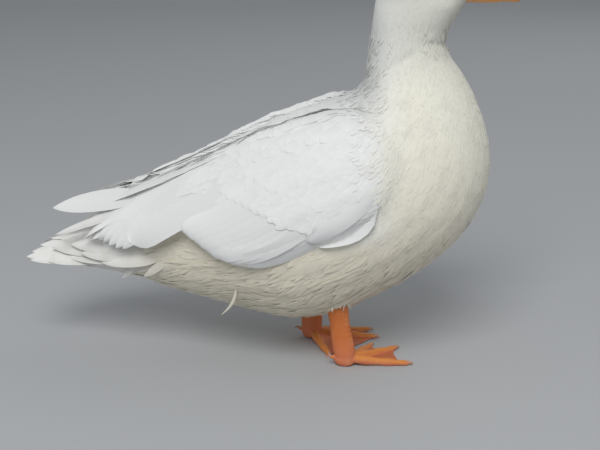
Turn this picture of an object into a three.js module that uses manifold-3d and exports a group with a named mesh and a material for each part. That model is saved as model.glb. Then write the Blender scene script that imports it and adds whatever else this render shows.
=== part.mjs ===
// A small white domestic duck, standing, as a still life-size model.
// Millimetres. +Z is up, the bill points along +X, and the bird's right side is towards -Y.
// The solids hold the plumage out to the feather tips. Trunk, neck and tail root are lofted as one body,
// joined to the head and to the fan of the tail, and parted again by thin plane cuts. The wings and legs are
// cut to lie against that body, and the bill, eyes and claws are pieces of their own.
import * as THREE from "three";
import { mergeVertices } from "three/addons/utils/BufferGeometryUtils.js";
import Module from "manifold-3d";

const wasm = await Module();
wasm.setup();

// ---------------------------------------------------------------------------------- driving dimensions

const FIT_GAP = 0.3; // clearance between two pieces that touch
const CUT_SIZE = 600; // side of the blocks that make plane cuts, larger than the bird

// The body: each row is one section, fanned from the tail root round the breast and up the neck. It holds
// x and z of the point on the back, x and z of the point on the belly or breast, and half the width.
const BODY_ROWS = [
  [-146, 72, -146, 62, 5],
  [-130, 79, -130, 59, 13],
  [-112, 88, -112, 56, 19],
  [-92, 99, -92, 52.5, 25],
  [-72, 115, -71, 46.5, 34],
  [-48, 132, -46, 40, 44],
  [-24, 150, -20, 34.5, 54],
  [0, 162.5, 4, 29.5, 61.5],
  [22, 173, 26, 26.5, 66],
  [43, 180.5, 52, 31, 68],
  [56, 185, 80, 44.5, 68],
  [64, 188, 111.5, 63.5, 66],
  [68, 191.5, 139.5, 88.5, 61],
  [70, 195.5, 155.5, 117.5, 54],
  [71.5, 200.5, 158, 145.5, 46],
  [72.5, 206, 151.5, 172.5, 37],
  [73.5, 212, 140, 197, 29],
  [74.2, 219, 127.5, 214, 24],
  [75, 228, 125.5, 228.5, 22.5],
  [76.5, 240, 131, 238, 23],
  [78, 254, 137, 249, 23],
];
const BODY_STEPS = 32; // sections along the body
const BODY_SIDES = 24; // points round a section
const BODY_LOW = 0.06; // share by which the body is wider below the middle of a section
const TAIL_CUT = -118; // x of the cut between trunk and tail
const NECK_CUT = { at: [98, 0, 207], tilt: 4 }; // cut between trunk and neck, tilt in degrees
const HEAD_CUT = { at: [104, 0, 243.5], tilt: -6 }; // cut between neck and head

// The head: x, z of the crown, z of the jaw, half width.
const HEAD_ROWS = [
  [75.2, 271, 264, 4],
  [78, 281, 256, 12.5],
  [86, 291.5, 246, 19],
  [97, 297.5, 241, 22.8],
  [108, 299, 240, 23.8],
  [118, 296.5, 241.5, 22],
  [127, 289.5, 244.8, 18.2],
  [134, 281, 248, 14.6],
  [139, 274, 250, 12.4],
];
const HEAD_STEPS = 10;
const HEAD_SIDES = 18;
const CHEEK_LOW = 0.2; // share by which the cheeks are wider than the crown
const EYE = { x: 116, y: 15.6, z: 277.5, radius: 5.6 };

// The bill, from the edge of the feathers: x, z of the ridge, z of the edge along the gape, half width.
const UPPER_BILL_ROWS = [
  [139.3, 271, 258, 11.4],
  [145, 266.5, 256.6, 10.9],
  [153, 262.2, 255, 10.6],
  [162, 260.4, 253.8, 11.6],
  [169, 259.6, 252.6, 11.9],
  [173.4, 258, 251.2, 9.4],
  [175.6, 255.4, 251.2, 4.5],
];
const LOWER_BILL_ROWS = [
  [139.3, 249.6, 257.5, 9.6],
  [145, 249.2, 256.1, 9.4],
  [153, 249, 254.5, 9.2],
  [162, 249.6, 253.3, 9.8],
  [169, 249.3, 252.1, 8.6],
  [172, 249.6, 251, 5],
];
const BILL_STEPS = 8;
const BILL_ARC = 10; // steps round the outer side of each half
const BILL_FULLNESS = 0.8; // below 1 the sides of the bill stand squarer than an oval

// The folded right wing, from the shoulder back: x, then y and z of the lower and of the upper edge, then
// how far the outer face bulges out and the inner face bulges in from the line between the edges.
const WING_ROWS = [
  [101, -57, 142, -53, 152, 3, 3],
  [93, -62, 125, -46, 170, 9, 5],
  [80, -67, 115.5, -38, 179, 14, 6],
  [62, -70, 105, -31, 183, 16, 8],
  [45, -70.5, 98.5, -28, 180, 17, 9],
  [28, -70, 90.5, -26, 174.5, 17, 9],
  [12, -69, 84, -24.5, 168.5, 17, 9],
  [-4, -66, 80.5, -23, 162, 16, 8],
  [-20, -62, 82, -21, 153.5, 14, 7],
  [-32, -58, 89.5, -20, 147, 12, 6],
  [-46, -52.5, 96.5, -19, 140, 10, 5],
  [-62, -47, 93, -18, 132, 8, 4],
  [-79, -42, 88, -17, 124.5, 6, 3],
  [-98, -34, 91, -15.5, 117.5, 4.5, 1.5],
  [-120, -26, 97, -14, 110.5, 3, 0.8],
];
const WING_STEPS = 18;
const WING_SIDES = 12;
const QUILL_CUT = -114; // x of the cut between a wing and the feathers that end it

// The long feathers that end each folded wing: root, tip, width, thickness, rise in the middle, and the roll
// of the vane in degrees. Those of the left wing are tucked lower, under the tips of the right one.
const QUILL_TUCK = { right: 0, left: 9 };
const WING_QUILLS = [
  { root: [-96, -22, 110], tip: [-146.5, -20, 104], width: 22, thick: 2.4, bow: 1.5, roll: 40 },
  { root: [-96, -28, 101], tip: [-144, -27, 86.5], width: 15, thick: 2.2, bow: 2, roll: 52 },
  { root: [-92, -21, 112], tip: [-138, -13, 108], width: 16, thick: 2.2, bow: 1.5, roll: 28 },
];

// The tail: feathers fanned to both sides of the middle pair, each pair a little lower and shorter than the
// last.
const TAIL_PAIRS = 5;
const TAIL_ROOT = { x: -112, z: 72 };
const TAIL_TIP = { x: -170.5, z: 62.5 };
const TAIL_SPREAD = 25; // sideways reach of the outermost tip
const TAIL_WIDTH = 16; // of one feather

// The legs. Toes turn from straight ahead towards the bird's left, in degrees.
const LEGS = {
  right: {
    top: [53.8, -31, 58],
    ankle: [61.8, -33, 9],
    toes: { outer: 5, middle: 42, inner: 64, hind: 190 },
  },
  left: {
    top: [33.5, 24, 58],
    ankle: [34, 17, 9],
    toes: { outer: 21, middle: 2, inner: -66, hind: 172 },
  },
};
const SHANK_ROWS = [
  // share of the way down, half the depth fore and aft, half the width
  [0, 8.8, 6.6],
  [0.3, 8.2, 5.8],
  [0.55, 7.2, 5],
  [0.85, 7.9, 5.2],
  [1, 7.7, 5.5],
];
const TOE_LENGTH = { outer: 45, middle: 47.5, inner: 40, hind: 10 };
const TOE_RADIUS = { outer: 3.9, middle: 3.9, inner: 3.5, hind: 2.3 };
const TOE_RISE = 2.8; // how much higher a toe is at its root than at its tip
const HIND_LIFT = 5; // the hind toe stays clear of the ground
const WEB_THICK = 1.3;
const WEB_REACH = 0.95; // share of the toes' length that the web runs out to, beside a toe
const WEB_HOLLOW = 0.14; // how much less it reaches halfway between two toes
const CLAW_LENGTH = 4;
const ANKLE_SEAM = 11; // height of the cut between shank and foot

// ---------------------------------------------------------------------------------- materials

const paint = (color, roughness) => new THREE.MeshStandardMaterial({ color, roughness, metalness: 0 });
const PLUMAGE = paint(0xe9e8e0, 0.85);
const QUILL = paint(0xf0f0ee, 0.7);
const BILL_HORN = paint(0xe8963c, 0.45);
const LEG_SKIN = paint(0xe0701f, 0.5);
const CLAW_HORN = paint(0xe8c4a6, 0.4);
const EYE_GLOSS = paint(0x26303c, 0.08);

// ---------------------------------------------------------------------------------- solids and meshes

// A closed geometry as a solid. Its faces are turned if they point in.
function solidOf(geometry) {
  const plain = new THREE.BufferGeometry();
  plain.setAttribute("position", geometry.getAttribute("position"));
  if (geometry.index) plain.setIndex(geometry.index);
  const merged = mergeVertices(plain, 1e-4);
  const vertProperties = merged.attributes.position.array;
  const triVerts = new Uint32Array(merged.index.array);
  const made = new wasm.Manifold(new wasm.Mesh({ numProp: 3, vertProperties, triVerts }));
  if (made.volume() > 0) return made;
  for (let i = 0; i < triVerts.length; i += 3) {
    [triVerts[i], triVerts[i + 1]] = [triVerts[i + 1], triVerts[i]];
  }
  return new wasm.Manifold(new wasm.Mesh({ numProp: 3, vertProperties, triVerts }));
}

function geometryOf(solid) {
  const found = solid.getMesh();
  const geometry = new THREE.BufferGeometry();
  geometry.setAttribute("position", new THREE.BufferAttribute(new Float32Array(found.vertProperties), 3));
  geometry.setIndex(new THREE.BufferAttribute(new Uint32Array(found.triVerts), 1));
  return geometry;
}

// The same solid on the other side of the bird.
const mirrored = (solid) => solidOf(geometryOf(solid).scale(1, -1, 1));

const joined = (solids) => solids.reduce((a, b) => a.add(b));

// A cut can leave crumbs beside the piece, so only the connected part with most triangles is kept.
function largestPart(geometry) {
  const corners = geometry.index.array;
  const owner = Array.from({ length: geometry.attributes.position.count }, (_, i) => i);
  const root = (i) => {
    while (owner[i] !== i) i = owner[i] = owner[owner[i]];
    return i;
  };
  for (let i = 0; i < corners.length; i += 3) {
    owner[root(corners[i])] = root(corners[i + 1]);
    owner[root(corners[i + 1])] = root(corners[i + 2]);
  }
  const parts = new Map();
  for (let i = 0; i < corners.length; i += 3) {
    const key = root(corners[i]);
    if (!parts.has(key)) parts.set(key, []);
    parts.get(key).push(corners[i], corners[i + 1], corners[i + 2]);
  }
  geometry.setIndex([...parts.values()].reduce((a, b) => (a.length > b.length ? a : b)));
  return geometry;
}

function meshOf(name, solid, material) {
  const geometry = largestPart(geometryOf(solid));
  geometry.computeVertexNormals();
  const mesh = new THREE.Mesh(geometry, material);
  mesh.name = name;
  return mesh;
}

// A closed skin over a row of rings, each a list of the same number of points, with a flat fan at each end.
function loft(rings) {
  const sides = rings[0].length;
  const points = rings.flat();
  const faces = [];
  for (let r = 0; r + 1 < rings.length; r++) {
    for (let s = 0; s < sides; s++) {
      const a = r * sides + s;
      const b = r * sides + ((s + 1) % sides);
      faces.push(a, b, a + sides, b, b + sides, a + sides);
    }
  }
  for (const [ring, first] of [[0, true], [rings.length - 1, false]]) {
    const hub = points.length;
    const middle = new THREE.Vector3();
    rings[ring].forEach((p) => middle.addScaledVector(p, 1 / sides));
    points.push(middle);
    for (let s = 0; s < sides; s++) {
      const a = ring * sides + s;
      const b = ring * sides + ((s + 1) % sides);
      faces.push(...(first ? [hub, b, a] : [hub, a, b]));
    }
  }
  const geometry = new THREE.BufferGeometry().setFromPoints(points);
  geometry.setIndex(faces);
  return solidOf(geometry);
}

// Smooth values between rows of numbers, at any place from 0 at the first row to 1 at the last.
function smoothRows(rows) {
  const curves = rows[0].map((_, column) => {
    const knots = rows.map((row) => new THREE.Vector3(row[column], 0, 0));
    return new THREE.CatmullRomCurve3(knots, false, "catmullrom", 0.5);
  });
  return (place) => curves.map((curve) => curve.getPoint(place).x);
}

// A list of values for 0, 1/steps ... 1.
const stepped = (steps, make) => Array.from({ length: steps + 1 }, (_, i) => make(i / steps, i));

// A list of points for the turns of a full circle.
const round = (sides, make) => Array.from({ length: sides }, (_, s) => make((2 * Math.PI * s) / sides));

function bare(geometry) {
  geometry.deleteAttribute("normal");
  geometry.deleteAttribute("uv");
  return geometry;
}

function block(centre, tilt = 0) {
  const box = bare(new THREE.BoxGeometry(CUT_SIZE, CUT_SIZE, CUT_SIZE));
  return solidOf(box.rotateY(tilt).translate(...centre));
}

function ball(radius, centre) {
  return solidOf(bare(new THREE.SphereGeometry(radius, 12, 8)).translate(...centre));
}

const degrees = THREE.MathUtils.degToRad;

// All that lies above a tilted plane, half a gap clear of it.
function above({ at, tilt }) {
  const lift = (CUT_SIZE + FIT_GAP) / 2;
  const turn = degrees(tilt);
  return block([at[0] + lift * Math.sin(turn), at[1], at[2] + lift * Math.cos(turn)], turn);
}

// All that lies below it, likewise.
function below({ at, tilt }) {
  const drop = (CUT_SIZE + FIT_GAP) / 2;
  const turn = degrees(tilt);
  return block([at[0] - drop * Math.sin(turn), at[1], at[2] - drop * Math.cos(turn)], turn);
}

const behind = (x) => block([x - (CUT_SIZE + FIT_GAP) / 2, 0, 0]);
const ahead = (x) => block([x + (CUT_SIZE + FIT_GAP) / 2, 0, 0]);

// ---------------------------------------------------------------------------------- body and head

// The body, or the body swelled by a clearance.
function bodySolid(swell) {
  const rowAt = smoothRows(BODY_ROWS);
  const rings = stepped(BODY_STEPS, (place) => {
    const [backX, backZ, bellyX, bellyZ, half] = rowAt(place);
    const across = new THREE.Vector3(bellyX - backX, 0, bellyZ - backZ);
    const depth = across.length() + 2 * swell;
    across.normalize();
    const top = new THREE.Vector3(backX, 0, backZ).addScaledVector(across, -swell);
    return round(BODY_SIDES, (turn) => {
      const point = top.clone().addScaledVector(across, (depth * (1 - Math.cos(turn))) / 2);
      point.y = (half + swell) * Math.sin(turn) * (1 - BODY_LOW * Math.cos(turn));
      return point;
    });
  });
  return loft(rings);
}

function headSolid() {
  const rowAt = smoothRows(HEAD_ROWS);
  const rings = stepped(HEAD_STEPS, (place) => {
    const [x, crown, jaw, half] = rowAt(place);
    return round(HEAD_SIDES, (turn) => {
      const y = half * Math.sin(turn) * (1 - CHEEK_LOW * Math.cos(turn));
      return new THREE.Vector3(x, y, crown - ((crown - jaw) * (1 - Math.cos(turn))) / 2);
    });
  });
  return loft(rings);
}

// Half of the bill: rounded on its outer side and flat along the gape.
function billSolid(rows) {
  const rowAt = smoothRows(rows);
  const rings = stepped(BILL_STEPS, (place) => {
    const [x, ridge, edge, half] = rowAt(place);
    const arc = stepped(BILL_ARC, (share) => {
      const rise = (ridge - edge) * Math.sin(Math.PI * share) ** BILL_FULLNESS;
      return new THREE.Vector3(x, half * Math.cos(Math.PI * share), edge + rise);
    });
    return arc;
  });
  return loft(rings);
}

// ---------------------------------------------------------------------------------- wings and tail

function wingSolid() {
  const rowAt = smoothRows(WING_ROWS);
  const rings = stepped(WING_STEPS, (place) => {
    const [x, lowY, lowZ, highY, highZ, outer, inner] = rowAt(place);
    const low = new THREE.Vector3(x, lowY, lowZ);
    const chord = new THREE.Vector3(0, highY - lowY, highZ - lowZ);
    const out = new THREE.Vector3(0, -chord.z, chord.y).normalize();
    return round(WING_SIDES, (turn) => {
      const bulge = Math.sin(turn) > 0 ? outer : inner;
      const point = low.clone().addScaledVector(chord, (1 - Math.cos(turn)) / 2);
      return point.addScaledVector(out, bulge * Math.sin(turn));
    });
  });
  return loft(rings);
}

// One stiff feather: a leaf-shaped vane that bows up along its length and hangs down a little at both edges.
function vane({ root, tip, width, thick, bow, roll }) {
  const from = new THREE.Vector3(...root);
  const along = new THREE.Vector3(...tip).sub(from);
  const flat = new THREE.Vector3(0, Math.cos(degrees(roll)), Math.sin(degrees(roll)));
  const up = new THREE.Vector3().crossVectors(flat, along).normalize();
  if (up.z < 0) up.negate();
  const steps = 4;
  const rings = stepped(steps, (place, step) => {
    const taper = step === steps ? 0.08 : Math.min(1, 1.3 * (1 - place) ** 0.55);
    const arch = bow * Math.sin(Math.PI * place);
    const centre = from.clone().addScaledVector(along, place).addScaledVector(up, arch);
    return round(6, (turn) => {
      const aside = (Math.cos(turn) * width * taper) / 2;
      const rise = (Math.sin(turn) * thick * (0.5 + 0.5 * taper)) / 2 - (0.6 * aside * aside) / width;
      return centre.clone().addScaledVector(flat, aside).addScaledVector(up, rise);
    });
  });
  return loft(rings);
}

function tailFan() {
  const feathers = [];
  for (let pair = 0; pair < TAIL_PAIRS; pair++) {
    const share = pair / (TAIL_PAIRS - 1);
    for (const side of [-1, 1]) {
      const root = [TAIL_ROOT.x, side * (2 + 8 * share), TAIL_ROOT.z - 4 * share];
      const aside = side * (3 + (TAIL_SPREAD - 3) * share);
      const uneven = side > 0 ? 3 : 0; // the feathers of the left side end a little sooner
      const tip = [TAIL_TIP.x + 16 * share ** 1.6 + uneven, aside, TAIL_TIP.z - 4 * share ** 1.5];
      feathers.push(vane({ root, tip, width: TAIL_WIDTH, thick: 2.4, bow: 2.5, roll: side * 14 * share }));
    }
  }
  return joined(feathers);
}

// ---------------------------------------------------------------------------------- legs and feet

// A shank of oval rings, long fore and aft.
function shankSolid({ top, ankle }) {
  const rowAt = smoothRows(SHANK_ROWS);
  const start = new THREE.Vector3(...top);
  const end = new THREE.Vector3(...ankle);
  const rings = stepped(8, (place) => {
    const [share, deep, wide] = rowAt(place);
    const centre = start.clone().lerp(end, share);
    return round(12, (turn) => {
      return centre.clone().add(new THREE.Vector3(deep * Math.cos(turn), wide * Math.sin(turn), 0));
    });
  });
  return loft(rings);
}

// The ball of the foot, from the ankle down into the floor.
function heelSolid([x, y, z]) {
  const rings = stepped(3, (place) => {
    const deep = 7.6 - 3 * place;
    const wide = 5.4 - place;
    const down = (z + 1) * place;
    return round(10, (turn) => {
      return new THREE.Vector3(x + deep * Math.cos(turn), y + wide * Math.sin(turn), z - down);
    });
  });
  return loft(rings);
}

// A point at a reach from the ankle along a heading, moved aside and set to a height.
function footPoint(ankle, heading, reach, aside, height) {
  const turn = degrees(heading);
  const x = ankle[0] + reach * Math.cos(turn) - aside * Math.sin(turn);
  return new THREE.Vector3(x, ankle[1] + reach * Math.sin(turn) + aside * Math.cos(turn), height);
}

// A toe swells at its joints, thins to the tip and lies lower there.
function toeSolid(ankle, heading, length, thick, lift) {
  const rings = stepped(6, (place) => {
    const radius = thick * (1 - 0.52 * place) * (1 + 0.1 * Math.cos(6 * Math.PI * place));
    const height = lift + radius * 0.86 + TOE_RISE * (1 - place) ** 3;
    return round(6, (turn) => {
      const rise = radius * Math.sin(turn);
      return footPoint(ankle, heading, length * place, radius * Math.cos(turn), height + rise);
    });
  });
  return loft(rings);
}

// The web between two toes: a sheet with a hollow front edge that slopes from the ankle down to the ground.
function webSolid(ankle, first, second) {
  const rings = stepped(3, (place) => {
    const out = 0.06 + 0.94 * place;
    const height = 1.1 + 5 * (1 - out) ** 2;
    const line = stepped(4, (share) => {
      const heading = first.heading + (second.heading - first.heading) * share;
      const hollow = WEB_REACH * (1 - WEB_HOLLOW * Math.sin(Math.PI * share));
      const reach = (first.length + (second.length - first.length) * share) * hollow * out;
      return footPoint(ankle, heading, reach, 0, height);
    });
    const under = line.map((p) => p.clone().setZ(p.z - WEB_THICK)).reverse();
    return [...line, ...under];
  });
  return loft(rings);
}

// A claw goes on from the end of its toe, pointed and bent down a little.
function clawSolid(ankle, heading, toeEnd, size, height) {
  const rings = stepped(3, (place) => {
    const radius = size * (1 - place) ** 0.7 + 0.25;
    const reach = toeEnd + FIT_GAP + CLAW_LENGTH * place;
    return round(6, (turn) => {
      const aside = 0.8 * radius * Math.cos(turn);
      return footPoint(ankle, heading, reach, aside, height - 0.6 * place * place + radius * Math.sin(turn));
    });
  });
  return loft(rings);
}

function footSolid({ ankle, toes }) {
  const parts = Object.entries(toes).map(([toe, heading]) => {
    const lift = toe === "hind" ? HIND_LIFT : 0;
    return toeSolid(ankle, heading, TOE_LENGTH[toe], TOE_RADIUS[toe], lift);
  });
  const spread = (toe) => ({ heading: toes[toe], length: TOE_LENGTH[toe] });
  parts.push(webSolid(ankle, spread("outer"), spread("middle")));
  parts.push(webSolid(ankle, spread("middle"), spread("inner")));
  return joined([...parts, heelSolid(ankle)]);
}

// ---------------------------------------------------------------------------------- assembly

const group = new THREE.Group();
const add = (name, solid, material) => group.add(meshOf(name, solid, material));

// Trunk, neck, head and tail are one body parted by thin cuts.
const whole = bodySolid(0).add(headSolid()).add(tailFan());
add("tail", whole.intersect(behind(TAIL_CUT)), QUILL);
add("trunk", whole.intersect(ahead(TAIL_CUT)).intersect(below(NECK_CUT)), PLUMAGE);
add("neck", whole.intersect(above(NECK_CUT)).intersect(below(HEAD_CUT)), PLUMAGE);

// The head has a socket for each eye, with the clearance all round.
let head = whole.intersect(above(HEAD_CUT));
for (const [name, side] of [["right", -1], ["left", 1]]) {
  const centre = [EYE.x, side * EYE.y, EYE.z];
  head = head.subtract(ball(EYE.radius + FIT_GAP, centre));
  add(`eye_${name}`, ball(EYE.radius, centre), EYE_GLOSS);
}
add("head", head, PLUMAGE);
add("bill_upper", billSolid(UPPER_BILL_ROWS), BILL_HORN);
add("bill_lower", billSolid(LOWER_BILL_ROWS), BILL_HORN);

// The wings lie on the swelled body, and their last feathers are parted from them by a cut.
const bodyRoom = bodySolid(FIT_GAP);
for (const [name, tuck] of Object.entries(QUILL_TUCK)) {
  const quills = WING_QUILLS.map((quill) => {
    const [x, y, z] = quill.tip;
    return vane({ ...quill, tip: [x, y, z - tuck] });
  });
  const wing = joined([wingSolid(), ...quills]).subtract(bodyRoom);
  const placed = name === "left" ? mirrored(wing) : wing;
  add(`wing_${name}`, placed.intersect(ahead(QUILL_CUT)), PLUMAGE);
  add(`wing_quills_${name}`, placed.intersect(behind(QUILL_CUT)), QUILL);
}

// Each leg comes out of the belly. Its foot and shank part above the ankle, and the sole is flat on the
// ground.
for (const [name, leg] of Object.entries(LEGS)) {
  const { ankle, toes } = leg;
  const seam = { at: [0, 0, ANKLE_SEAM], tilt: 0 };
  const limb = shankSolid(leg).add(footSolid(leg)).subtract(bodyRoom);
  const ground = block([0, 0, -CUT_SIZE / 2]);
  add(`shank_${name}`, limb.intersect(above(seam)), LEG_SKIN);
  add(`foot_${name}`, limb.intersect(below(seam)).subtract(ground), LEG_SKIN);
  for (const [toe, heading] of Object.entries(toes)) {
    const lift = toe === "hind" ? HIND_LIFT : 0;
    const size = TOE_RADIUS[toe] * 0.36;
    const claw = clawSolid(ankle, heading, TOE_LENGTH[toe], size, lift + 1.8);
    add(`claw_${name}_${toe}`, claw, CLAW_HORN);
  }
}

// The origin is the middle of the base of the whole bird.
const bounds = new THREE.Box3().setFromObject(group);
const middle = bounds.getCenter(new THREE.Vector3());
group.position.set(-middle.x, -middle.y, -bounds.min.z);

export default group;
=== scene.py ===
# A small white domestic duck, standing with folded wings, as a still life-size model.
# Metres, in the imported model's frame: +Z up, bill towards +X, the bird's right side towards -Y.
import math

import bmesh
import bpy
import numpy as np
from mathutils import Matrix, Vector
from mathutils.bvhtree import BVHTree
from mathutils.kdtree import KDTree


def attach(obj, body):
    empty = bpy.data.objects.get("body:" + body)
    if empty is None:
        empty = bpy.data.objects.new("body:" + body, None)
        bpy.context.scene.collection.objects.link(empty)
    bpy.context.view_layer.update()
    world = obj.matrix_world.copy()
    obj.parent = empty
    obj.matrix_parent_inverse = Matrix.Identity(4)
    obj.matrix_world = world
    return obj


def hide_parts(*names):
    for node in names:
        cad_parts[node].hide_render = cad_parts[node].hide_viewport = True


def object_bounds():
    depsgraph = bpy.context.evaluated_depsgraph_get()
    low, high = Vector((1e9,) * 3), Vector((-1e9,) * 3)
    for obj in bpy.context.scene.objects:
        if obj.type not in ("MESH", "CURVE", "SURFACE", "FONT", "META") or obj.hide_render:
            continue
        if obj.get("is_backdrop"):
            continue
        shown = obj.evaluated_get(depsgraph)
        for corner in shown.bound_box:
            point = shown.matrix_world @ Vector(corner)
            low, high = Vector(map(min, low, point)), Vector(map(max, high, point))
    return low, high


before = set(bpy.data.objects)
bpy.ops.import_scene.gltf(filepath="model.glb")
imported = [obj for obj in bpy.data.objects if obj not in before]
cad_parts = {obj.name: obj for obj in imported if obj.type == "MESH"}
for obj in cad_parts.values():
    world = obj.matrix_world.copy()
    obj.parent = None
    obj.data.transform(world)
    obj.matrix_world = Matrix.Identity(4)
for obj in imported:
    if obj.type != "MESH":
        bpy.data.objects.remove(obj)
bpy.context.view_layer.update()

# ------------------------------------------------------------------------------ camera, ground and light
# The bird stands on a plain pale floor under one wide soft lamp from the viewer's side and a pale sky.
# The camera looks down a little on the bird's right side, close enough that the head leaves the frame.
MM = 0.001
CAMERA_PLACE = (0.10852, -0.77978, 0.320)
CAMERA_DOWN = 16.24  # degrees below level
CAMERA_TURN = 6.15  # degrees towards the tail
CAMERA_LENS = 69  # millimetres, as the sensor's width
SENSOR_WIDTH = 36
FLOOR_REACH = 60
FLOOR_GREY = (0.46, 0.47, 0.48, 1)
SKY_GREY = (0.93, 0.96, 1.0, 1)
SKY_STRENGTH = 0.38
HORIZON_GREY = (0.165, 0.172, 0.18, 1)
LAMP_AIM = (0, 0, 0.12)
LAMPS = {  # place, size, watts
    "wide_lamp": ((0.0, -1.45, 1.6), 1.2, 26),
    "back_lamp": ((0.9, 1.6, 1.5), 1.6, 5),
}


def placed(name, data):
    """A new object in the scene, at the origin."""
    made = bpy.data.objects.new(name, data)
    bpy.context.scene.collection.objects.link(made)
    return made


class Nodes:
    """A tree of nodes, with short ways to add and join them."""

    def __init__(self, tree):
        self.tree = tree

    def feed(self, node, socket, value):
        """Sets an input, or joins an output to it."""
        if isinstance(value, bpy.types.NodeSocket):
            self.tree.links.new(value, node.inputs[socket])
        else:
            node.inputs[socket].default_value = value

    def node(self, kind, settings=None, **inputs):
        """A new node. Inputs go by name, with _ for a space, or by number as i0, i1."""
        made = self.tree.nodes.new(kind)
        for key, value in (settings or {}).items():
            setattr(made, key, value)
        for socket, value in inputs.items():
            self.feed(made, int(socket[1:]) if socket[1:].isdigit() else socket.replace("_", " "), value)
        return made

    def where(self):
        return self.node("ShaderNodeTexCoord").outputs["Object"]

    def noise(self, place, scale, detail, **more):
        kind = "ShaderNodeTexNoise"
        return self.node(kind, None, Vector=place, Scale=scale, Detail=detail, **more).outputs["Fac"]

    def attribute(self, name):
        return self.node("ShaderNodeAttribute", {"attribute_name": name}).outputs["Fac"]

    def math(self, operation, *values):
        inputs = {f"i{k}": value for k, value in enumerate(values)}
        return self.node("ShaderNodeMath", {"operation": operation}, **inputs).outputs[0]

    def ranged(self, value, start, end, low=0.0, high=1.0, manner="LINEAR"):
        """A value that runs from low to high while the one given runs from start to end."""
        return self.node("ShaderNodeMapRange", {"interpolation_type": manner}, Value=value, From_Min=start,
                         From_Max=end, To_Min=low, To_Max=high).outputs["Result"]

    def mixed(self, share, first, second):
        """A colour between two."""
        mix = self.node("ShaderNodeMix", {"data_type": "RGBA"}, Factor=share, A=first, B=second)
        return mix.outputs["Result"]


class Finish(Nodes):
    """A material. The values given are set on its shader's own sockets."""

    def __init__(self, name, **values):
        self.material = bpy.data.materials.new(name)
        self.material.use_nodes = True
        super().__init__(self.material.node_tree)
        self.shader = self.tree.nodes["Principled BSDF"]
        for socket, value in values.items():
            self.feed(self.shader, socket.replace("_", " "), value)

    def done(self, colour, height, strength, distance=0.2 * MM):
        """Joins the colour and a bump to the shader."""
        bump = self.node("ShaderNodeBump", None, Strength=strength, Distance=distance, Height=height)
        self.feed(self.shader, "Base Color", colour)
        self.feed(self.shader, "Normal", bump.outputs["Normal"])
        return self.material


camera = placed("camera", bpy.data.cameras.new("camera"))
camera.data.lens = CAMERA_LENS
camera.data.sensor_width = SENSOR_WIDTH
camera.location = CAMERA_PLACE
camera.rotation_euler = (math.radians(90 - CAMERA_DOWN), 0, math.radians(CAMERA_TURN))
bpy.context.scene.camera = camera
bpy.context.scene.view_settings.view_transform = "Standard"

floor_mesh = bpy.data.meshes.new("studio_floor")
floor_corners = [(x * FLOOR_REACH, y * FLOOR_REACH, 0) for x, y in ((-1, -1), (1, -1), (1, 1), (-1, 1))]
floor_mesh.from_pydata(floor_corners, [], [(0, 1, 2, 3)])
floor_finish = Finish("studio_floor", Base_Color=FLOOR_GREY, Roughness=0.9, Specular_IOR_Level=0.0)
floor_mesh.materials.append(floor_finish.material)
placed("studio_floor", floor_mesh)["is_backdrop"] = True

world = bpy.data.worlds.new("sky")
world.use_nodes = True
sky = Nodes(world.node_tree)
light_sky = world.node_tree.nodes["Background"]
sky.feed(light_sky, "Color", SKY_GREY)
sky.feed(light_sky, "Strength", SKY_STRENGTH)
seen_sky = sky.node("ShaderNodeBackground", None, Color=HORIZON_GREY)
ray = sky.node("ShaderNodeLightPath")
either = sky.node("ShaderNodeMixShader", None, i0=ray.outputs["Is Camera Ray"], i1=light_sky.outputs[0],
                  i2=seen_sky.outputs[0])
sky.feed(world.node_tree.nodes["World Output"], "Surface", either.outputs[0])
bpy.context.scene.world = world

for name, (place, size, watts) in LAMPS.items():
    lamp = placed(name, bpy.data.lights.new(name, "AREA"))
    lamp.data.shape = "DISK"
    lamp.data.size = size
    lamp.data.energy = watts
    lamp.location = place
    lamp.rotation_euler = (Vector(LAMP_AIM) - Vector(place)).to_track_quat("-Z", "Y").to_euler()

# ------------------------------------------------------------------------------ the plumage's surface
# The bird's outline is its feather tips. The solids of trunk, neck, head and wings are run together into one
# smooth closed surface, the outer limit of the coat, on which every tuft and feather is laid.
COAT_NODES = ("trunk", "neck", "head", "wing_right", "wing_left")
VOXEL = 2.4 * MM
SMOOTHINGS = 26
RUMP_SIDES = 20
RUMP_ROWS = [  # x, top, bottom, half width of the root of the tail
    (-108, 88, 57, 18),
    (-120, 84, 57.5, 17),
    (-132, 78, 59, 12),
    (-145, 72, 62, 6),
    (-150, 69, 64, 2),
]
# Folds of the neck: x and z where each starts, its slope, depth and width, and the x between which it ends.
# Ends below 0 are those of a fold that fades towards the nape.
NECK_CREASE = dict(start=(69.2, 198.8), slope=0.537, deep=1.5, wide=3.0, ends=(98, 108))
THROAT_CREASE = dict(start=(122, 221.5), slope=-0.12, deep=1.3, wide=2.4, ends=(-112, -100))
CREASE_FLOOR = 180  # the folds stay above this height


def read(items, field, width, kind=float):
    """One field of many mesh items, a row for each."""
    values = np.empty(len(items) * width, kind)
    items.foreach_get(field, values)
    return values.reshape(-1, width)


def corners_of(mesh):
    return read(mesh.vertices, "co", 3)


def normals_of(mesh):
    return read(mesh.vertex_normals, "vector", 3)


def edges_of(mesh):
    return read(mesh.edges, "vertices", 2, int)


def move_corners(mesh, corners):
    mesh.vertices.foreach_set("co", corners.ravel())
    mesh.update()


def triangles_of(mesh):
    mesh.calc_loop_triangles()
    return read(mesh.loop_triangles, "vertices", 3, int)


def joined(shapes):
    """Several (corners, faces) as one."""
    faces = []
    count = 0
    for corners, own in shapes:
        faces += [[int(i) + count for i in face] for face in own]
        count += len(corners)
    return np.concatenate([corners for corners, _ in shapes]), faces


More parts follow.
